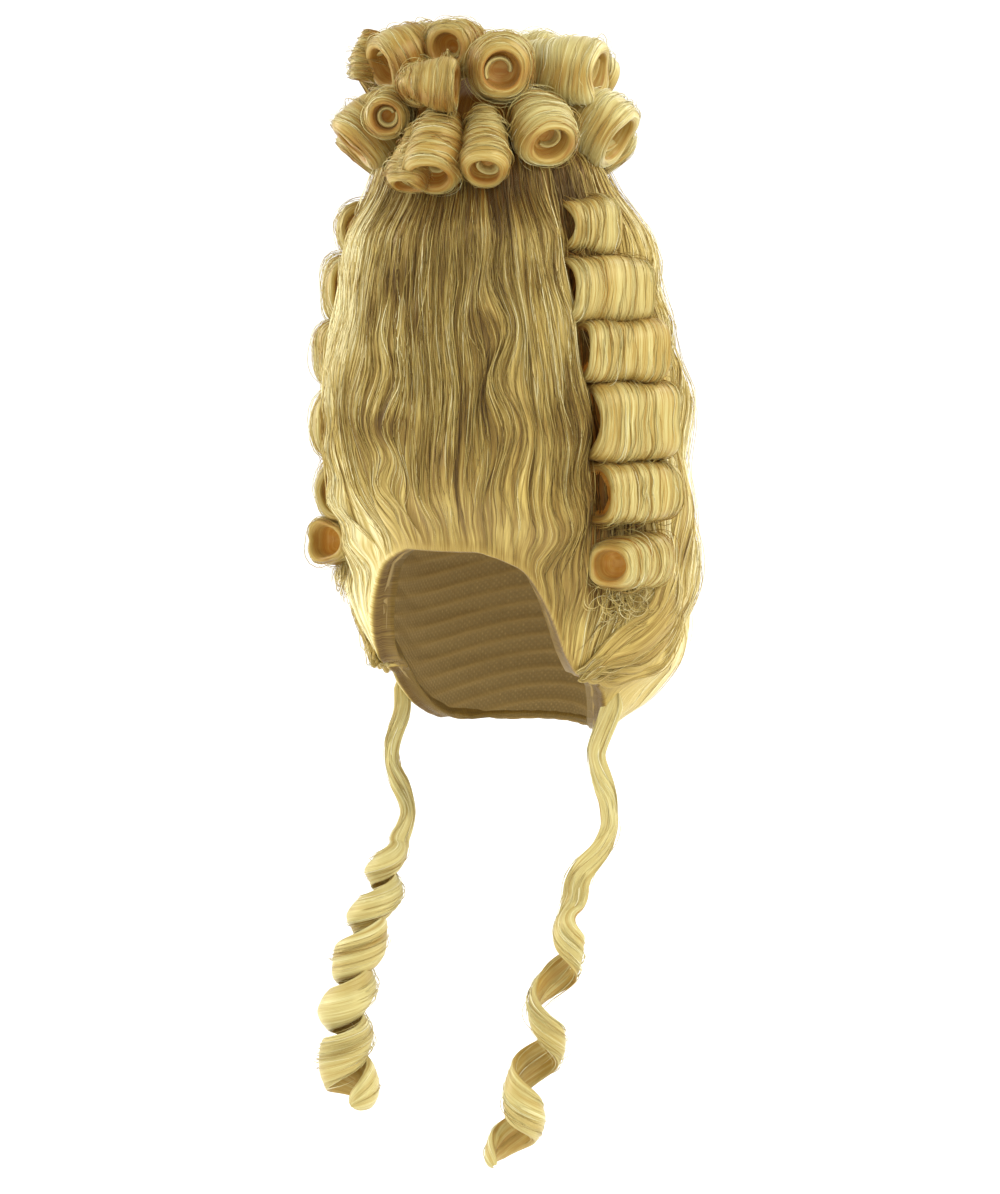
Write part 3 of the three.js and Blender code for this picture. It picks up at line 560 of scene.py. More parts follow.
def back_swatch(piece, shape, inside):
    """Closes a swatch with a coarser sheet behind it"""
    rows, columns = shape
    fewer, narrower = inside.shape[:2]

    def edit(mesh):
        front = np.arange(rows * columns).reshape(rows, columns)
        for point in inside.reshape(-1, 3):
            mesh.verts.new(point)
        mesh.verts.ensure_lookup_table()
        back = np.arange(rows * columns, len(mesh.verts)).reshape(fewer, narrower)
        faces = []
        for r in range(fewer - 1):
            for c in range(narrower - 1):
                faces.append((back[r, c], back[r + 1, c], back[r + 1, c + 1], back[r, c + 1]))
        faces += zip_edges(front[0], back[0], True)
        faces += zip_edges(front[-1], back[-1], False)
        faces += zip_edges(front[:, 0], back[:, 0], False)
        faces += zip_edges(front[:, -1], back[:, -1], True)
        for face in faces:
            mesh.faces.new([mesh.verts[i] for i in face])

    close_swatch(piece, edit)


def unit(vectors):
    """The same directions with a length of 1"""
    return vectors / np.linalg.norm(vectors, axis=-1, keepdims=True)


def strand_tubes(name, centres, out, widths, tones, lengths):
    """Loose strands as thin closed tubes of three sides, each through a row of centres"""
    count, steps = centres.shape[:2]
    forward = unit(np.gradient(centres, axis=1))
    side = unit(np.cross(forward, out))
    taper = np.minimum(1, 0.12 + 4 * np.minimum(np.linspace(0, 1, steps), np.linspace(1, 0, steps)))
    size = (widths[:, None] * taper[None, :])[..., None]
    rings = np.stack([
        centres + 0.6 * size * out, centres - 0.35 * size * out + 0.5 * size * side,
        centres - 0.35 * size * out - 0.5 * size * side,
    ], 2)
    index = np.arange(count * steps * 3).reshape(count, steps, 3)
    faces = []
    for k in range(3):
        a, b = index[..., k], index[..., (k + 1) % 3]
        faces.append(np.stack([a[:, :-1], b[:, :-1], b[:, 1:], a[:, 1:]], -1).reshape(-1, 4))
    quads = np.concatenate(faces)
    caps = np.concatenate([index[:, 0, ::-1], index[:, -1, :]])
    mesh = bpy.data.meshes.new(name)
    mesh.from_pydata(rings.reshape(-1, 3), [], quads.tolist() + caps.tolist())
    piece = bpy.data.objects.new(name, mesh)
    bpy.context.collection.objects.link(piece)
    across = np.arange(count)[:, None, None] * 0.0137 + 0 * index + np.array([0, 0.3, 0.6]) * STRAND_WIDTH
    comb(
        piece, across.reshape(-1), (lengths[..., None] + 0 * index).reshape(-1),
        (tones[..., None] + 0 * index).reshape(-1),
    )
    return piece


def outward(turn):
    """Directions out of the pouf and a little up"""
    return np.stack([np.sin(np.radians(turn)), -np.cos(np.radians(turn)), 0.15 + 0 * turn], -1)


for panel in PANELS:
    # The combed surface, a hem that tucks in under its lower edge, and a top that runs in to the middle
    turns = np.linspace(*panel["turns"], panel["columns"])
    levels, lengths = meridians(turns, PANEL_ROWS)
    turn_at = turns[None, :] + 0 * levels
    points, across, tone, painted_glow = combed(turn_at, levels, lengths, lengths[0] - lengths, panel["seed"])
    tucked_in = np.linspace(0.92, 0, HEM_ROWS, endpoint=False)[:, None]
    rim = looked_up(outer_map, turns, levels[0]) - looked_up(inner_map, turns, levels[0])
    root = spot(turns, looked_up(inner_map, turns, levels[0]), levels[0])
    hem = (1 - tucked_in[..., None]) * points[0] + tucked_in[..., None] * root
    hem[..., 2] -= HEM_DROP * np.sin(np.pi * tucked_in)
    points = np.concatenate([hem, points])
    across = np.concatenate([np.tile(across[0], (HEM_ROWS, 1)), across])
    # Painted shade: the rows that roll in under the hairline darken to a set dark tone
    shade_under_hem = smooth_step(2 * tucked_in)
    tone = np.concatenate([(1 - shade_under_hem) * tone[0] + HEM_SHADE_TONE * shade_under_hem, tone])
    painted_glow = np.concatenate([0 * shade_under_hem + 0 * painted_glow[0], painted_glow, np.tile(painted_glow[-1], (TOP_ROWS, 1))])
    lengths_laid = np.concatenate([lengths[0] + tucked_in * rim, lengths])
    drawn_in = np.linspace(0, 0.97, TOP_ROWS + 1)[1:, None]
    middle = np.array([0, SPINE_LEAN, HAIR_TOP])
    top = (1 - drawn_in[..., None]) * points[-1] + drawn_in[..., None] * middle
    top[..., 2] += TOP_DOME * np.sin(np.pi / 2 * drawn_in)
    points = np.concatenate([points, top])
    across = np.concatenate([across, np.tile(across[-1], (TOP_ROWS, 1))])
    tone = np.concatenate([tone, np.tile(tone[-1], (TOP_ROWS, 1))])
    lengths_laid = np.concatenate([lengths_laid, lengths_laid[-1] - 0.02 * drawn_in])
    piece = laid_swatch(panel["name"], points)
    # A coarser sheet behind it, on the pouf's inner side
    back_turns = np.linspace(*panel["turns"], BACK_COLUMNS)
    back_levels, back_lengths = meridians(back_turns, BACK_ROWS)
    back_turns = back_turns[None, :] + 0 * back_levels
    inside = np.minimum(
        looked_up(inner_map, back_turns, back_levels),
        looked_up(outer_map, back_turns, back_levels) - CROWN_DEPTH - PANEL_WALL,
    )
    inner_points = spot(back_turns, inside, back_levels)
    inner_top = 0.05 * inner_points[-1] + 0.95 * (middle - np.array([0, 0, TOP_SHEET]))
    back_swatch(piece, points.shape[:2], np.concatenate([inner_points, inner_top[None]]))
    back_turns = np.concatenate([back_turns, back_turns[-1:]])
    back_lengths = np.concatenate([back_lengths, back_lengths[-1:] - 0.02])
    comb(
        piece,
        np.append(across, np.radians(back_turns) * HAIR_REFERENCE),
        np.append(lengths_laid, back_lengths),
        np.append(tone, np.full(back_turns.shape, BACK_TONE)),
        np.append(painted_glow, 0 * back_turns),
    )
    piece.data.materials.append(BLOND)
    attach(piece, "root")
    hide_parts("pouf")

    # Loose strands that lie on the panel, a few of them bowed clear of it
    rng = np.random.default_rng(panel["seed"] + 500)
    count = panel["strands"]
    turn = rng.uniform(*panel["turns"], count)[:, None]
    reach = rng.uniform(0.15, 0.5, count)[:, None]
    first = rng.uniform(-0.05, 0.82, count)[:, None]
    share = np.clip(first + reach * np.linspace(0, 1, STRAND_POINTS)[None, :], 0.004, 0.86)
    column = (turn - turns[0]) / (turns[1] - turns[0])
    row = share ** (1 / ROW_POWER) * (PANEL_ROWS - 1)
    column = np.clip(np.round(column).astype(int), 0, len(turns) - 1) + 0 * row.astype(int)
    low = np.floor(row).astype(int)
    mix = row - low
    level = (1 - mix) * levels[low, column] + mix * levels[low + 1, column]
    length = (1 - mix) * lengths[low, column] + mix * lengths[low + 1, column]
    drift = rng.normal(0, 1.1, count)[:, None] * np.linspace(-1, 1, STRAND_POINTS)
    drift = drift + rng.normal(0, 0.5, count)[:, None] * np.sin(share * rng.uniform(20, 60, count)[:, None])
    drift = drift - drawn_forward(turn, level)
    centres, _, tone, _ = combed(turn + drift, level, length, lengths[0][column] - length, panel["seed"])
    kept = (level > hairline(turn + drift) + HEM_DROP).all(1)
    loose = rng.uniform(0, 1, count)[:, None] ** 6
    bow = np.sin(np.pi * np.linspace(0, 1, STRAND_POINTS))[None, :]
    lift = 0.0001 + 0.0004 * rng.uniform(0, 1, count)[:, None] + 0.006 * loose * bow
    out = outward(turn + drift)
    centres = centres + lift[..., None] * out
    widths = STRAND_WIDTH * rng.uniform(0.6, 1.5, count) * (1 - 0.5 * loose[:, 0])
    tone = tone + rng.normal(0.05, 0.17, count)[:, None]
    piece = strand_tubes(
        panel["name"].replace("combed", "loose"), centres[kept], unit(out)[kept], widths[kept], tone[kept],
        length[kept],
    )
    piece.data.materials.append(BLOND)
    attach(piece, "root")
    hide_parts("pouf")

# The side curls
# Six barrel curls are stacked on each side, hair rolled round a rod and pinned by its back end, with the
# open mouth of each turned to the front.
SIDE_REACH = 0.111
SIDE_TURN = 75
SIDE_RADIUS = 0.021
SIDE_BORE = 0.0155
SIDE_LENGTH = 0.060
SIDE_CURLS = [
    {"left": 0.1683, "right": 0.1683, "reach": 0.766, "girth": 0.88, "long": 0.62, "flare": 30, "mouth": 1},
    {"left": 0.1278, "right": 0.1278, "reach": 0.86, "girth": 1.02, "long": 0.98, "flare": 32, "mouth": 1},
    {"left": 0.0884, "right": 0.0852, "reach": 0.952, "girth": 0.98, "long": 0.96, "flare": 32, "mouth": 1},
    {"left": 0.0426, "right": 0.0362, "reach": 0.966, "girth": 1.22, "long": 1.03, "flare": 30, "mouth": 1},
    {"left": -0.0032, "right": -0.0085, "reach": 0.987, "girth": 1.02, "long": 1, "flare": 24, "mouth": 1},
    {"left": -0.049, "right": -0.0426, "reach": 0.99, "girth": 0.98, "long": 1, "flare": 0, "mouth": 0.72},
]
# A rolled curl from its pinned end to its mouth, as shares of its half length and its radius
SIDE_ROLL = {
    "line": [
        (-1.0, 0.3), (-1.0, 0.72), (-0.985, 0.88), (-0.95, 0.96), (-0.8, 0.99), (-0.4, 1.0), (0.3, 1.0),
        (0.7, 0.99), (0.9, 0.97), (0.97, 0.94), (1.0, 0.9),
    ],
    # Of the settings below, hollow is how much painted shade darkens the curl's well, and the last is the
    # strength of a painted orange-brown glow deep in the well
    "root": 1, "square": 2.9, "stations": 110, "around": 48, "strands": 150, "inner": 0, "hollow": 0.18,
    "painted_glow": 0.38,
}
# The well in its mouth, as shares of its half length and its bore
WELL = [(0.97, 1), (0.9, 0.97), (0.75, 0.93), (0.6, 0.85), (0.5, 0.3)]
WELL_STATIONS = 30
INNER_THICKNESS = 0.0032
BLOND_CURL = hair("glossy_golden_fibre", "#8d5a1a", "#a68944", "#c5b97b", "#f8f3d0", 0.36)


def lock(name, path, out, width, thickness, seed, bulge=0.0, around=40, shade=0.0, behind=0.0):
    """A lock of strands along a path, flattened so that its broad side faces out, and bulging to that side.
    Shade is added to its tones all over, and behind, as painted shade, on its other side."""
    run = np.concatenate([[0], np.cumsum(np.linalg.norm(np.diff(path, axis=0), axis=1))])
    forward = unit(np.gradient(path, axis=0))
    across = unit(np.cross(forward, out))
    out = unit(np.cross(across, forward))
    angle = np.linspace(-np.pi, np.pi, around, endpoint=False)
    length_at, angle_at = np.meshgrid(run, angle, indexing="ij")
    strand_across = angle_at * width.max() / 2
    relief, tone = strands(seed, strand_across, length_at, 0.5, 0.6)
    ends = smooth_step(np.minimum(length_at, run[-1] - length_at) / 0.012)
    relief = relief * ends
    parts = 0.08 * width[:, None] * noise(seed + 30, np.abs(angle_at) / 0.9, length_at / 0.03)
    side = np.sin(angle_at) * (width[:, None] / 2 + relief + parts * ends)
    face = np.cos(angle_at) * (thickness[:, None] / 2 + relief + parts * ends)
    face += np.reshape(bulge, (-1, 1)) * np.cos(angle_at) ** 2
    points = path[:, None] + side[..., None] * across[:, None] + face[..., None] * out[:, None]
    piece = laid_swatch(name, points)
    close_tube(piece, np.arange(angle_at.size).reshape(angle_at.shape))
    tone = tone + np.reshape(shade, (-1, 1)) + behind * smooth_step(0.3 - 2 * np.cos(angle_at))
    comb(piece, strand_across.reshape(-1), length_at.reshape(-1), tone.reshape(-1))
    return piece


def loose_on_lock(name, path, out, width, thickness, seed, count, reach, bulge=0.0):
    """Loose strands that lie along a lock's broad side, each over a reach of the path's points"""
    rng = np.random.default_rng(seed)
    share = np.linspace(0, 1, STRAND_POINTS)
    start = rng.uniform(0.02, 0.96, count)[:, None] * len(path) - reach / 2
    station = np.clip(start + reach * share, 1, len(path) - 2).astype(int)
    aside = rng.uniform(-1, 1, count)[:, None] + rng.normal(0, 0.12, count)[:, None] * (2 * share - 1)
    beside = unit(np.cross(unit(np.gradient(path, axis=0)), out))
    loose = rng.uniform(0, 1, count)[:, None] ** 5
    proud = np.sqrt(np.clip(1 - aside ** 2, 0, 1)) * thickness[station] / 2
    proud = proud + 0.0004 + 0.004 * loose * np.sin(np.pi * share)
    side = rng.choice([-1, 1], count, p=[0.25, 0.75])[:, None]
    proud = side * proud + (bulge + 0 * width)[station] * (1 - aside ** 2)
    centres = path[station] + (aside * width[station] / 2)[..., None] * beside[station]
    centres = centres + proud[..., None] * out[station]
    return strand_tubes(
        name, centres, out[station], STRAND_WIDTH * rng.uniform(0.5, 1.2, count),
        0.55 + rng.normal(0, 0.14, count)[:, None] + 0 * aside, station * 0.001,
    )


def joined(name, pieces):
    """The pieces as one mesh, under one name"""
    bpy.ops.object.select_all(action="DESELECT")
    for piece in pieces:
        piece.select_set(True)
    bpy.context.view_layer.objects.active = pieces[0]
    bpy.ops.object.join()
    pieces[0].name = pieces[0].data.name = name
    return pieces[0]


def rolled_curl(name, place, radius, bore, length, seed, roll, mouth=1.0, shade=-0.03):
    """Hair rolled into a barrel, with strands that run round it, an inner turn, and loose strands"""
    half = length / 2
    skin = np.array(roll["line"]) * (half, radius)
    skin[:, 1] *= roll["root"] + (1 - roll["root"]) * smooth_step((skin[:, 0] + half) / (1.3 * half))
    skin[:, 1] *= 1 - (1 - mouth) * smooth_step((skin[:, 0] + 0.5 * half) / (1.4 * half))
    lip, bore = skin[-1, 1], bore * mouth
    rim = [(1.01 * half, 0.6 * lip + 0.4 * bore), (half, 0.2 * lip + 0.8 * bore)]
    line = np.vstack([skin, rim, np.array(WELL) * (half, bore)])
    run = np.concatenate([[0], np.cumsum(np.hypot(*np.diff(line, axis=0).T))])
    outside = run[len(skin) - 1]
    within = np.linspace(0, 1, WELL_STATIONS + 1)[1:] ** 1.4
    steps = np.concatenate([
        np.linspace(0, outside, roll["stations"] - WELL_STATIONS), outside + (run[-1] - outside) * within
    ])
    y, r = np.interp(steps, run, line[:, 0]), np.interp(steps, run, line[:, 1])
    for _ in range(2):
        y[1:-1] = (y[:-2] + 2 * y[1:-1] + y[2:]) / 4
        r[1:-1] = (r[:-2] + 2 * r[1:-1] + r[2:]) / 4
    rng = np.random.default_rng(seed)
    shift, slant, lean = rng.uniform(0, 1, 2), rng.uniform(-0.004, 0.004), rng.uniform(0, 6.28)
    bow, oval = rng.uniform(-0.05, 0.05, 2) * radius, 1 + rng.uniform(-0.05, 0.05)

    def surface(run_at, angle):
        """Places, outward directions, positions across and along, tones with painted shade, and painted glow
        on the roll
        """
        at_y, at_r = np.interp(run_at, steps, y), np.interp(run_at, steps, r)
        inner = smooth_step((run_at - outside) / (0.25 * radius))
        round_it = np.pi - np.abs(angle % (2 * np.pi) - np.pi)
        along = round_it * radius * (1 - 0.35 * inner) + shift[0]
        across = run_at + slant * round_it / np.pi + shift[1]
        relief, tone = strands(seed, 1.3 * across, along, 0.3, 0.35)
        fade = smooth_step(run_at / 0.006)
        ripple = 0.002 * noise(seed + 20, run_at / 0.02, round_it / 1.1) * fade
        power = 2 + (roll["square"] - 2) * (1 - inner)
        corner = (np.abs(np.cos(angle)) ** power + np.abs(np.sin(angle)) ** power) ** (-1 / power)
        ring = at_r * corner + (relief * fade + ripple) * (1 - 0.5 * inner)
        slide = 0.0018 * noise(seed + 21, run_at / 0.014, round_it * radius / 0.02) * fade
        slide = slide + 0.05 * radius * np.cos(angle - lean) * smooth_step(run_at / outside)
        bend = (at_y / half) ** 2
        out = np.stack([np.cos(angle), 0 * angle, np.sin(angle)], -1)
        local = ring[..., None] * out * (oval, 1, 1 / oval)
        local += np.stack([bow[0] * bend, at_y + slide, bow[1] * bend], -1)
        # Painted shade: the roll is darker within its well, at its pinned end where it meets the hair
        # beneath, and along its two sides where it meets its neighbours; painted light: an orange-brown glow
        # deep in its well
        depth = smooth_step((run_at - outside - 0.1 * radius) / (0.8 * radius))
        edge = 1 - smooth_step(run_at / (0.2 * outside))
        crevice = np.abs(np.sin(angle)) ** 6
        tone = tone + shade - roll["hollow"] * inner - 0.14 * edge - 0.24 * crevice * (1 - inner)
        painted_glow = roll["painted_glow"] * depth
        turned = place[:3, :3]
        return local @ turned.T + place[:3, 3], out @ turned.T, across, along, tone, painted_glow

    turn = np.linspace(0, 2 * np.pi, roll["around"], endpoint=False)
    points, _, across, along, tone, painted_glow = surface(*np.meshgrid(steps, turn))
    shell = laid_swatch(name, points)
    close_tube(shell, np.arange(tone.size).reshape(tone.shape).T)
    comb(shell, *(values.reshape(-1) for values in (across, along, tone, painted_glow)))

    parts = [shell]
    if roll["inner"]:
        # The roll's inner turn is a band that winds into the well from just inside the mouth
        t = np.linspace(0, 1, 46)
        angle = lean + 2 * np.pi * roll["inner"] * rng.uniform(0.45, 1) * t
        ring = bore * (0.86 - 0.34 * t)
        front, back = half * 0.9 - 0.35 * radius * t, half * (0.52 - 0.1 * t)
        out = np.stack([np.cos(angle), 0 * t, np.sin(angle)], 1)
        path = ring[:, None] * out
        path[:, 1] = (front + back) / 2
        turned = place[:3, :3]
        parts.append(lock(
            f"{name}_inner_turn", path @ turned.T + place[:3, 3], out @ turned.T, front - back,
            INNER_THICKNESS + 0 * t, seed + 40, around=18,
        ))

    count, share = roll["strands"], np.linspace(0, 1, 12)
    span = rng.uniform(0.8, 3.2, count)[:, None]
    angle = rng.uniform(0, 2 * np.pi, count)[:, None] + span * share
    start = rng.uniform(0.03, 1, count)[:, None] * (outside + 0.45 * radius)
    run_at = start + rng.normal(0, 0.0012, count)[:, None] * (2 * share - 1)
    run_at = np.clip(run_at + 0.0006 * np.sin(share * rng.uniform(4, 14, count)[:, None]), 0.002, None)
    centres, out, _, along, tone, _ = surface(run_at, angle)
    loose = rng.uniform(0, 1, count)[:, None] ** 4
    lift = 0.0001 + 0.0008 * rng.uniform(0, 1, count)[:, None] + 0.005 * loose * np.sin(np.pi * share)
    hairs = strand_tubes(
        f"{name}_strands", centres + lift[..., None] * out, out,
        STRAND_WIDTH * rng.uniform(0.5, 1.2, count) * (1 - 0.4 * loose[:, 0]),
        tone + rng.normal(0.04, 0.13, count)[:, None], along,
    )
    piece = joined(name, [*parts, hairs])
    piece.data.materials.append(BLOND_CURL)
    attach(piece, "root")
    return piece


def facing(origin, forward, inward):
    """A frame whose second axis points along a curl to its mouth, and whose first points into the hair"""
    forward = forward / np.linalg.norm(forward)
    inward = inward - forward * (inward @ forward)
    inward /= np.linalg.norm(inward)
    frame_at = np.eye(4)
    frame_at[:3, :3] = np.stack([inward, forward, np.cross(inward, forward)], 1)
    frame_at[:3, 3] = origin
    return frame_at


for side, mirror in (("left", 1), ("right", -1)):
    for i, row in enumerate(SIDE_CURLS):
        centre = spot(mirror * SIDE_TURN, row["reach"] * SIDE_REACH, row[side])
        flare = math.radians(row["flare"])
        forward = np.array([-mirror * math.sin(flare), -math.cos(flare), 0])
        inward = np.array([0, spine(row[side]), row[side]]) - centre
        piece = rolled_curl(
            f"rolled_side_curl_{side}_{i + 1}",
            facing(centre, forward, inward),
            row["girth"] * SIDE_RADIUS,
            row["girth"] * SIDE_BORE,
            row["long"] * SIDE_LENGTH,
            100 + 7 * i + (40 if mirror < 0 else 0),
            SIDE_ROLL,
            row["mouth"],
        )
        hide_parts(f"side_curl_{side}_{i + 1}")

# The crown curls
# Twenty-eight smaller barrel curls cover the mound in three tiers, pinned at its middle, with their mouths
# turned out and down.
MOUND_RADIUS = 0.057
MOUND_RISE = 0.055
NECK_RISE = 0.213
CURL_RADIUS = 0.020
CURL_BORE = 0.0118
CURL_LENGTH = 0.054
CROWN_ROLL = {
    "line": [
        (-1.0, 0.1), (-0.985, 0.5), (-0.93, 0.74), (-0.8, 0.88), (-0.5, 0.97), (-0.1, 1.0), (0.3, 1.01),
        (0.6, 1.0), (0.8, 0.97), (0.92, 0.91), (0.98, 0.83), (1.0, 0.77),
    ],
    # As for the side curls, hollow is painted shade within the well and the last setting a painted glow deep
    # in it
    "root": 0.62, "square": 2.3, "stations": 100, "around": 44, "strands": 170, "inner": 1.1,
    "hollow": 0.3, "painted_glow": 0.12,
}
CROWN_CURLS = [
    {"turn": 4, "out": 1.54, "up": -0.26, "dip": 56, "twist": 4, "girth": 0.95, "long": 1},
    {"turn": 28, "out": 1.54, "up": -0.23, "dip": 52, "twist": 0, "girth": 0.82, "long": 1},
    {"turn": 56, "out": 1.56, "up": 0.11, "dip": 34, "twist": -6, "girth": 1, "long": 1.06},
    {"turn": 101, "out": 1.62, "up": 0.22, "dip": 34, "twist": 0, "girth": 1.2, "long": 1.1},
    {"turn": 130, "out": 1.56, "up": 0.04, "dip": 44, "twist": 6, "girth": 1, "long": 1.06},
    {"turn": 157, "out": 1.58, "up": 0.02, "dip": 46, "twist": 0, "girth": 0.98, "long": 1.06},
    {"turn": 184, "out": 1.56, "up": 0.06, "dip": 40, "twist": -6, "girth": 1.04, "long": 1.06},
    {"turn": 212, "out": 1.58, "up": 0.02, "dip": 48, "twist": 0, "girth": 0.98, "long": 1.06},
    {"turn": 239, "out": 1.58, "up": 0.08, "dip": 40, "twist": 6, "girth": 1.06, "long": 1.06},
    {"turn": 266, "out": 1.56, "up": 0.04, "dip": 46, "twist": 0, "girth": 0.98, "long": 1.06},
    {"turn": 291, "out": 1.56, "up": 0.02, "dip": 50, "twist": 0, "girth": 0.9, "long": 1},
    {"turn": 316, "out": 1.62, "up": 0.12, "dip": 44, "twist": -4, "girth": 1, "long": 1.04},
    {"turn": 352, "out": 1.5, "up": -0.36, "dip": 68, "twist": 8, "girth": 0.66, "long": 0.8},
    {"turn": 341, "out": 1.54, "up": 0.46, "dip": 8, "twist": 40, "girth": 0.72, "long": 0.9},
    {"turn": 35, "out": 1.4, "up": 0.94, "dip": 14, "twist": -6, "girth": 0.98, "long": 1},
    {"turn": 14, "out": 1.34, "up": 0.8, "dip": 4, "twist": 96, "girth": 0.8, "long": 0.62},
    {"turn": 354, "out": 1.4, "up": 0.76, "dip": 26, "twist": 20, "girth": 0.56, "long": 0.7},
    {"turn": 326, "out": 1.34, "up": 1.04, "dip": 24, "twist": 0, "girth": 1, "long": 1.04},
    {"turn": 309, "out": 1.44, "up": 0.92, "dip": 78, "twist": 0, "girth": 0.52, "long": 0.62},
    {"turn": 88, "out": 1.5, "up": 0.98, "dip": 8, "twist": 14, "girth": 1.14, "long": 1.1},
    {"turn": 126, "out": 1.44, "up": 0.86, "dip": 22, "twist": 0, "girth": 1, "long": 1},
    {"turn": 166, "out": 1.42, "up": 0.9, "dip": 16, "twist": 8, "girth": 1.04, "long": 1},
    {"turn": 206, "out": 1.42, "up": 0.86, "dip": 22, "twist": 0, "girth": 1, "long": 1},
    {"turn": 246, "out": 1.42, "up": 0.92, "dip": 16, "twist": -8, "girth": 1.04, "long": 1},
    {"turn": 284, "out": 1.42, "up": 0.86, "dip": 24, "twist": 0, "girth": 0.96, "long": 1},
    {"turn": 2, "out": 1, "up": 1.26, "dip": 10, "twist": 6, "girth": 0.8, "long": 0.95},
    {"turn": 110, "out": 0.8, "up": 1.16, "dip": 4, "twist": -40, "girth": 0.9, "long": 1.1},
    {"turn": 230, "out": 0.84, "up": 1.2, "dip": 6, "twist": 20, "girth": 0.92, "long": 1.1},
]
for i, row in enumerate(CROWN_CURLS):
    heading, dip, turn = (math.radians(v) for v in (row["turn"] + row["twist"], row["dip"], row["turn"]))
    forward = np.array([
        math.cos(dip) * math.sin(heading), -math.cos(dip) * math.cos(heading), -math.sin(dip)
    ])
    mouth = np.array([
        row["out"] * MOUND_RADIUS * math.sin(turn),
        SPINE_LEAN - row["out"] * MOUND_RADIUS * math.cos(turn),
        NECK_RISE + row["up"] * MOUND_RISE,
    ])
    centre = mouth - forward * row["long"] * CURL_LENGTH / 2
    inward = np.array([0, SPINE_LEAN, NECK_RISE - 0.02]) - centre
    # The last value shifts each curl's tone by its turn: painted shade on the curls at the front, painted
    # light on those round the sides and back
    piece = rolled_curl(
        f"rolled_crown_curl_{i + 1:02d}",
        facing(centre, forward, inward),
        row["girth"] * CURL_RADIUS,
        row["girth"] * CURL_BORE,
        row["long"] * CURL_LENGTH,
        300 + 11 * i,
        CROWN_ROLL,
        1,
        0.19 * min(1.2, 1 - math.cos(turn + 0.17)) - 0.1,
    )
    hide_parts(f"crown_curl_{i + 1:02d}")

# The swept locks
# A few locks are drawn forward from under each stack of curls and pinned to a point at the hairline's front
# corner, with short strands come loose above them.
SWEEP_WIDTH = 0.027
SWEEP_THICKNESS = 0.009
TEMPLE_DROP = 0.128
SWEEP = [
    {"turn": 107, "drop": 0.4, "wide": 0.45},
    {"turn": 103, "drop": 0.5, "wide": 0.8},
    {"turn": 97, "drop": 0.6, "wide": 1},
    {"turn": 91, "drop": 0.71, "wide": 1.05},
    {"turn": 84, "drop": 0.81, "wide": 0.95},
    {"turn": 76, "drop": 0.895, "wide": 0.78},
    {"turn": 68, "drop": 0.95, "wide": 0.5},
    {"turn": 61, "drop": 0.985, "wide": 0.1},
]
# The locks of one side: how far each lies from the main one, down, out and round, and its width
SWEPT = [
    {"down": 0, "out": 0.0015, "wide": 0.9, "shift": 0},
    {"down": 0.012, "out": 0.0002, "wide": 0.75, "shift": 4},
    {"down": -0.012, "out": 0.0008, "wide": 0.6, "shift": -2},
    {"down": 0.022, "out": -0.0012, "wide": 0.7, "shift": 9},
    {"down": 0.006, "out": 0.0022, "wide": 0.45, "shift": 2},
    {"down": -0.006, "out": 0.002, "wide": 0.4, "shift": -1},
]
FRIZZ_TURN = 72
FRIZZ_DROP = {"left": -0.073, "right": -0.067}
FRIZZ_STRANDS = 110
FRIZZ_TONE = 0.58


def smoothed(values, reach):
    """A run of points, each drawn towards its neighbours"""
    n = max(1, int(reach))
    padded = np.pad(values, ((3 * n, 3 * n), (0, 0)), mode="edge")
    ends = [2 * values[0] - padded[6 * n:3 * n:-1], 2 * values[-1] - padded[-3 * n - 2:-6 * n - 2:-1]]
    padded[:3 * n], padded[-3 * n:] = ends
    return np.stack([np.convolve(line, bell(n), "valid") for line in padded.T], 1)


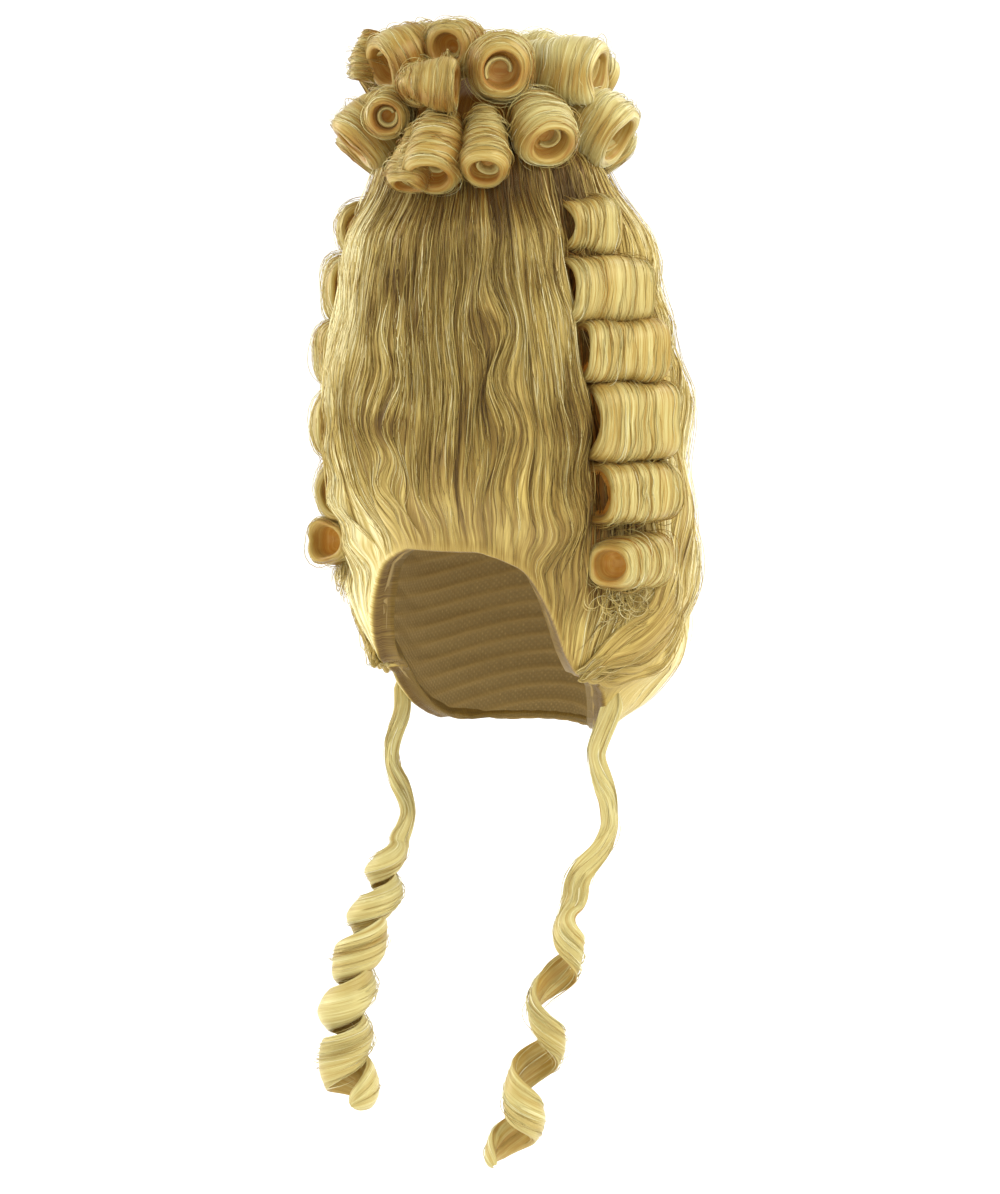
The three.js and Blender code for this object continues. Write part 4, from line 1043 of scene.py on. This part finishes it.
for side, mirror in (("left", 1), ("right", -1)):
    pieces = []
    for k, row in enumerate(SWEPT):
        table = np.array([
            (
                r["turn"] + row["shift"],
                -r["drop"] * TEMPLE_DROP - row["down"] * min(1, 6 * (1 - r["drop"])),
                r["wide"],
            ) for r in SWEEP
        ])
        share = np.linspace(0, len(table) - 1, 90)
        turn, level, wide = (np.interp(share, np.arange(len(table)), line) for line in table.T)
        turn, level = smoothed(np.stack([turn, level], 1), 5).T
        level += 0.0025 * np.sin(share * 2.6 + k)
        sunk = 0.01 * (1 - smooth_step(share / len(table) / 0.3))
        radius = looked_up(outer_map, mirror * turn, level) + row["out"] + 0.002 - sunk
        path = spot(mirror * turn, radius, level)
        out = np.stack([
            np.sin(np.radians(mirror * turn)), -np.cos(np.radians(mirror * turn)), 0.1 + 0 * turn
        ], 1)
        width = row["wide"] * wide * SWEEP_WIDTH
        seed = 500 + 9 * k + (50 if mirror < 0 else 0)
        thickness = 0.38 * width + 0.001
        pieces.append(lock(f"swept_{k}", path, out, width, thickness, seed))
        pieces.append(loose_on_lock(f"swept_strands_{k}", path, out, width, thickness, seed, 40, 50))
    # Short curly strands that have come loose below the lowest curl
    rng = np.random.default_rng(60 + mirror)
    count, share = FRIZZ_STRANDS, np.linspace(0, 1, STRAND_POINTS)
    middle = mirror * rng.normal(FRIZZ_TURN, 5, count), rng.normal(FRIZZ_DROP[side], 0.005, count)
    middle = spot(middle[0], looked_up(outer_map, *middle) + rng.uniform(0, 0.007, count), middle[1])
    angle = rng.uniform(0, 2 * np.pi, count)[:, None] + rng.uniform(2, 5.5, count)[:, None] * share
    loop = rng.uniform(0.003, 0.009, count)[:, None]
    out = unit(outward(mirror * FRIZZ_TURN + 0 * angle))
    aside = unit(np.cross(out, (0, 0, 1)))
    centres = middle[:, None] + (loop * np.cos(angle) * 1.5)[..., None] * aside
    centres = centres + (loop * np.sin(angle))[..., None] * (0, 0, 1) + 0.3 * (loop * share)[..., None] * out
    pieces.append(strand_tubes(
        "frizz", centres, out, STRAND_WIDTH * rng.uniform(0.5, 1, count),
        rng.normal(FRIZZ_TONE, 0.13, count)[:, None] + 0 * angle, 0.02 * share + 0 * angle,
    ))
    piece = joined(f"swept_locks_{side}", pieces)
    piece.data.materials.append(BLOND)
    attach(piece, "root")
    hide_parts(f"swept_lock_{side}")

# The ringlets
# One long lock at each side of the nape is set in a loose corkscrew. It hangs free, flat and narrow at
# first, and tightly curled at its end.
RINGLET_COIL = 0.025
RINGLET_DROP = 0.140
RINGLET_SPREAD = 0.080
RINGLET_REACH = 0.100
RINGLET_WAVE = 0.05
# Each ringlet's rows give the share of its drop, its place outwards and forwards as shares of the spread and
# the reach, and its width as a share of the coil's
RINGLETS = {
    "left": {
        "mirror": 1, "length": 0.303, "wound": 0.47, "from": 180, "hand": -1, "pitch": (0.074, 0.046),
        "radius": (0.009, 0.0105), "band": (0.017, 0.029), "bulge": 0.003,
        "rows": [
            (0, 1.04, -0.03, 0.5), (0.05, 0.99, -0.02, 0.52), (0.09, 0.93, -0.01, 0.52),
            (0.14, 0.86, 0, 0.52), (0.19, 0.92, 0.01, 0.52), (0.24, 1.01, 0.04, 0.52),
            (0.31, 1.06, 0.09, 0.5), (0.35, 1.02, 0.18, 0.5), (0.38, 0.91, 0.27, 0.6),
            (0.42, 0.89, 0.35, 0.72), (0.48, 0.95, 0.39, 0.76), (0.54, 0.92, 0.47, 0.8),
            (0.59, 0.81, 0.58, 0.85), (0.63, 0.8, 0.66, 0.85), (0.68, 0.93, 0.68, 0.9),
            (0.75, 0.9, 0.74, 1), (0.8, 0.79, 0.82, 1), (0.87, 0.77, 0.88, 1.05),
            (0.93, 0.69, 0.94, 1), (0.97, 0.62, 0.99, 1.1), (1, 0.66, 0.96, 0.85),
        ],
    },
    "right": {
        "mirror": -1, "length": 0.277, "wound": 0.42, "from": 30, "hand": 1, "pitch": (0.034, 0.036),
        "radius": (0.007, 0.0115), "band": (0.02, 0.032), "bulge": 0.0045,
        "rows": [
            (0, 1.04, -0.03, 0.45), (0.09, 1.02, -0.02, 0.45), (0.16, 1.09, 0.03, 0.45),
            (0.22, 1.08, 0.07, 0.46), (0.285, 0.96, 0.09, 0.5), (0.34, 0.86, 0.13, 0.5),
            (0.41, 0.88, 0.24, 0.52), (0.45, 0.95, 0.34, 0.62), (0.495, 0.91, 0.39, 0.85),
            (0.56, 0.92, 0.48, 0.95), (0.62, 0.96, 0.59, 0.95), (0.675, 1.01, 0.7, 0.95),
            (0.745, 1.03, 0.79, 1.05), (0.79, 0.95, 0.84, 1.05), (0.85, 0.96, 0.91, 0.95),
            (0.905, 0.98, 0.95, 1.05), (0.96, 0.91, 0.97, 1.15), (1, 0.84, 0.96, 0.95),
        ],
    },
}


def spread_along(path, count):
    """The same path through evenly spaced points, and the length to each"""
    run = np.concatenate([[0], np.cumsum(np.linalg.norm(np.diff(path, axis=0), axis=1))])
    even = np.linspace(0, run[-1], count)
    return np.stack([np.interp(even, run, line) for line in path.T], 1), even, even / run[-1], run / run[-1]


for side, row in RINGLETS.items():
    down, out, fore, wide = np.array(row["rows"]).T
    corners = np.stack([
        row["mirror"] * out * RINGLET_SPREAD, -fore * RINGLET_REACH, -RINGLET_DROP - down * row["length"]
    ], 1)
    path, run, share, corner_share = spread_along(corners, 460)
    width = np.interp(share, corner_share, wide) * RINGLET_COIL
    step = run[1]
    path = smoothed(path, 0.005 / step)
    axis = smoothed(path, 0.03 / step)
    flat, deep = np.array(right), np.array([ahead.x, ahead.y, 0])
    sway = (path - axis) @ flat
    depth = smoothed(np.gradient(sway, step)[:, None], 0.006 / step)[:, 0] * RINGLET_WAVE / (2 * np.pi)
    depth *= smooth_step(share / 0.08)
    wound = smooth_step((share - row["wound"] + 0.06) / 0.12)
    down_coil = np.clip((share - row["wound"]) / (1 - row["wound"]), 0, 1)
    pitch, radius, coiled = (a + (b - a) * down_coil for a, b in (row["pitch"], row["radius"], row["band"]))
    turned = np.cumsum(2 * np.pi * step / pitch)
    phase = math.radians(row["from"]) + row["hand"] * (turned - np.interp(row["wound"], share, turned))
    coil = np.cos(phase)[:, None] * flat - np.sin(phase)[:, None] * deep
    band = smoothed(sway[:, None] * flat + depth[:, None] * deep - 0.006 * deep, 0.012 / step)
    offset = sway[:, None] * flat + depth[:, None] * deep
    path = axis + (1 - wound)[:, None] * offset + (wound * radius)[:, None] * coil
    out = unit((1 - wound)[:, None] * unit(band) + wound[:, None] * coil)
    bulge = row["bulge"] * wound
    thickness = 0.5 * width * (1 - wound) + 0.3 * coiled * wound
    width = 1.1 * width * (1 - wound) + coiled * (1 + 0.12 * np.sin(run * 70)) * wound
    ends = np.sqrt(np.clip(np.minimum(share / 0.03, (1 - share) / 0.03), 0.01, 1))
    args = path, out, width * ends, thickness * ends
    seed = 700 + row["mirror"]
    # The band's tone is lighter by 0.05 all over, and painted shade darkens its other side, turned into the
    # coil, by up to 0.2
    band = lock(f"hanging_ringlet_{side}", *args, seed, bulge, 56, 0.05, -0.2)
    loose = loose_on_lock("ringlet_strands", *args, seed + 20, 220, 40, bulge)
    piece = joined(band.name, [band, loose])
    piece.data.materials.append(BLOND_CURL)
    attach(piece, "root")
    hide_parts(f"ringlet_{side}")

# The cap
# The hair is sewn in rows, called wefts, to a fitted cap of net, whose inside shows in the front opening.
CAP_TOP = -0.0004
CAP_WALL = 0.002
CAP_DEPTH = 0.179
CAP_STEP = 3
CAP_REFERENCE = 0.09
WEFT_PITCH = 0.012
WEFT_RISE = 0.0011
CAP_ROWS = 150
CAP_COLUMNS = 120
cap_surface = surface_of("cap")


def cap_radius(turns, levels):
    """The radius of the cap's hollow at each turn and level"""
    radius = np.full(levels.shape, np.nan)
    for i, j in np.ndindex(*levels.shape):
        away = Vector((math.sin(turns[i, j]), -math.cos(turns[i, j]), 0))
        hit = cap_surface.ray_cast(Vector((0, 0, levels[i, j])), away, REACH)[0]
        if hit is not None:
            radius[i, j] = hit.xy.length
    return radius


# The rays miss the cap's own edges by a hair's breadth, and lie closer together towards its top
cap_turns = np.radians(np.arange(0, 360, CAP_STEP) + 0.02)
cap_levels = -np.linspace(0, 1, 120)[:, None] ** 1.6 * CAP_DEPTH + CAP_TOP
cap_map = cap_radius(cap_turns[None, :] + 0 * cap_levels, cap_levels + 0 * cap_turns[None, :])


def cap_meridian(i):
    """The hollow's points down one turn, a little past its hem, by the length from its top"""
    known = np.isfinite(cap_map[:, i])
    radius = np.append(0, cap_map[known, i])
    level = np.append(CAP_TOP / 2, cap_levels[known, 0])
    radius = np.append(radius, 2 * radius[-1] - radius[-4])
    level = np.append(level, 2 * level[-1] - level[-4])
    return radius, level, np.concatenate([[0], np.cumsum(np.hypot(np.diff(radius), np.diff(level)))])


cap_meridians = [cap_meridian(i) for i in range(len(cap_turns))]
cap_hem = soften(np.array([[run[-2]] * 2 for *_, run in cap_meridians]), 1, 1)[:, 0]


def cap_points(columns, rows, thick, weft):
    """Points over the cap, thick metres outside its hollow, with wefts that stand into it, and their marks"""
    points, uv = [], []
    for i in np.linspace(0, len(cap_turns), columns):
        near = int(i) % len(cap_turns)
        after, part = (near + 1) % len(cap_turns), i - int(i)
        length = ((1 - part) * cap_hem[near] + part * cap_hem[after]) * np.linspace(0.02, 1, rows)
        mixed = [
            (1 - part) * np.interp(length, cap_meridians[near][2], cap_meridians[near][k])
            + part * np.interp(length, cap_meridians[after][2], cap_meridians[after][k]) for k in (0, 1)
        ]
        turn = math.radians(CAP_STEP * i)
        slope = unit(np.stack(np.gradient(np.stack(mixed), axis=1), -1))
        ridge = np.exp(-((length / WEFT_PITCH % 1 - 0.5) / 0.16) ** 2) * weft
        radius = mixed[0] + (thick - ridge) * np.abs(slope[:, 1])
        level = mixed[1] + (thick - ridge) * np.abs(slope[:, 0])
        points.append(np.stack([radius * math.sin(turn), -radius * math.cos(turn), level], 1))
        uv.append(np.stack([turn * CAP_REFERENCE + 0 * length, length, ridge / max(weft, 1e-6)], 1))
    return np.array(points).transpose(1, 0, 2), np.array(uv).transpose(1, 0, 2)


inside, marks = cap_points(CAP_COLUMNS + 1, CAP_ROWS, 0, WEFT_RISE)
outside, _ = cap_points(41, 14, CAP_WALL, 0)
piece = laid_swatch("wefted_net_cap", inside)
comb(piece, marks[..., 0].reshape(-1), marks[..., 1].reshape(-1), marks[..., 2].reshape(-1))


def close_cap(mesh):
    """Adds the cap's outside, joins it to the inside along the hem, and closes both at the top"""
    rows, columns = inside.shape[:2]
    fewer, narrower = outside.shape[:2]
    for point in outside.reshape(-1, 3):
        mesh.verts.new(point)
    mesh.verts.ensure_lookup_table()
    front = np.arange(rows * columns).reshape(rows, columns)
    back = np.arange(rows * columns, len(mesh.verts)).reshape(fewer, narrower)
    faces = [
        (back[r, c], back[r + 1, c], back[r + 1, c + 1], back[r, c + 1])
        for r in range(fewer - 1) for c in range(narrower - 1)
    ]
    faces += zip_edges(front[-1], back[-1], False)
    faces += [tuple(front[0, :-1]), tuple(back[0, :-1])]
    for face in faces:
        mesh.faces.new([mesh.verts[i] for i in face])
    bmesh.ops.remove_doubles(mesh, verts=mesh.verts, dist=1e-6)


close_swatch(piece, close_cap)
piece.data.polygons.foreach_set("use_smooth", np.ones(len(piece.data.polygons), bool))

# Cotton net is dull and open, and the fibre sewn along it shows as flat golden bands
net = new_material("fine_net_with_sewn_wefts")
strand = add_node(net, "ShaderNodeUVMap", {"uv_map": "strand"})
weft = add_node(net, "ShaderNodeAttribute", {"attribute_name": "tone"})
# Threads of the net lie 1.5 mm apart on a real cap, and twice as far here so that they show
lines = []
for turn in (45, -45):
    turned = add_node(
        net, "ShaderNodeMapping", Vector=strand.outputs[0], Rotation=(0, 0, math.radians(turn)),
        Scale=(1 / 0.003, 1 / 0.003, 1),
    )
    wave = add_node(
        net, "ShaderNodeTexWave", {"wave_type": "BANDS", "wave_profile": "SIN"},
        Vector=turned.outputs[0], Scale=1 / 3.2, Distortion=0.4,
    )
    lines.append(wave.outputs["Fac"])
mesh_lines = add_node(net, "ShaderNodeMath", {"operation": "MULTIPLY"}, _0=lines[0], _1=lines[1])
fibres = add_node(
    net, "ShaderNodeMapping", Vector=strand.outputs[0], Scale=(1 / 0.0012, 1 / 0.02, 1)
)
streak = add_node(net, "ShaderNodeTexNoise", Vector=fibres.outputs[0], Scale=1, Detail=3)
ground = add_node(net, "ShaderNodeValToRGB", Fac=streak.outputs["Fac"])
ground.color_ramp.elements[0].color = linear("#8a7040")
ground.color_ramp.elements[1].color = linear("#b89a5c")
ground.color_ramp.elements[0].position, ground.color_ramp.elements[1].position = 0.3, 0.75
threaded = add_node(
    net, "ShaderNodeMix", {"data_type": "RGBA"}, _0=mesh_lines.outputs[0], _6=linear("#8f7848"),
    _7=ground.outputs[0],
)
sewn = add_node(
    net, "ShaderNodeMix", {"data_type": "RGBA"}, _0=weft.outputs["Fac"], _6=threaded.outputs[2],
    _7=linear("#9c8047"),
)
dents = add_node(net, "ShaderNodeBump", Height=mesh_lines.outputs[0], Strength=0.4, Distance=0.0003)
cloth = add_node(
    net, "ShaderNodeBsdfPrincipled", Base_Color=sewn.outputs[2], Roughness=0.85, Normal=dents.outputs[0]
)
add_node(net, "ShaderNodeOutputMaterial", Surface=cloth.outputs[0])
piece.data.materials.append(net)
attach(piece, "root")
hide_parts("cap")
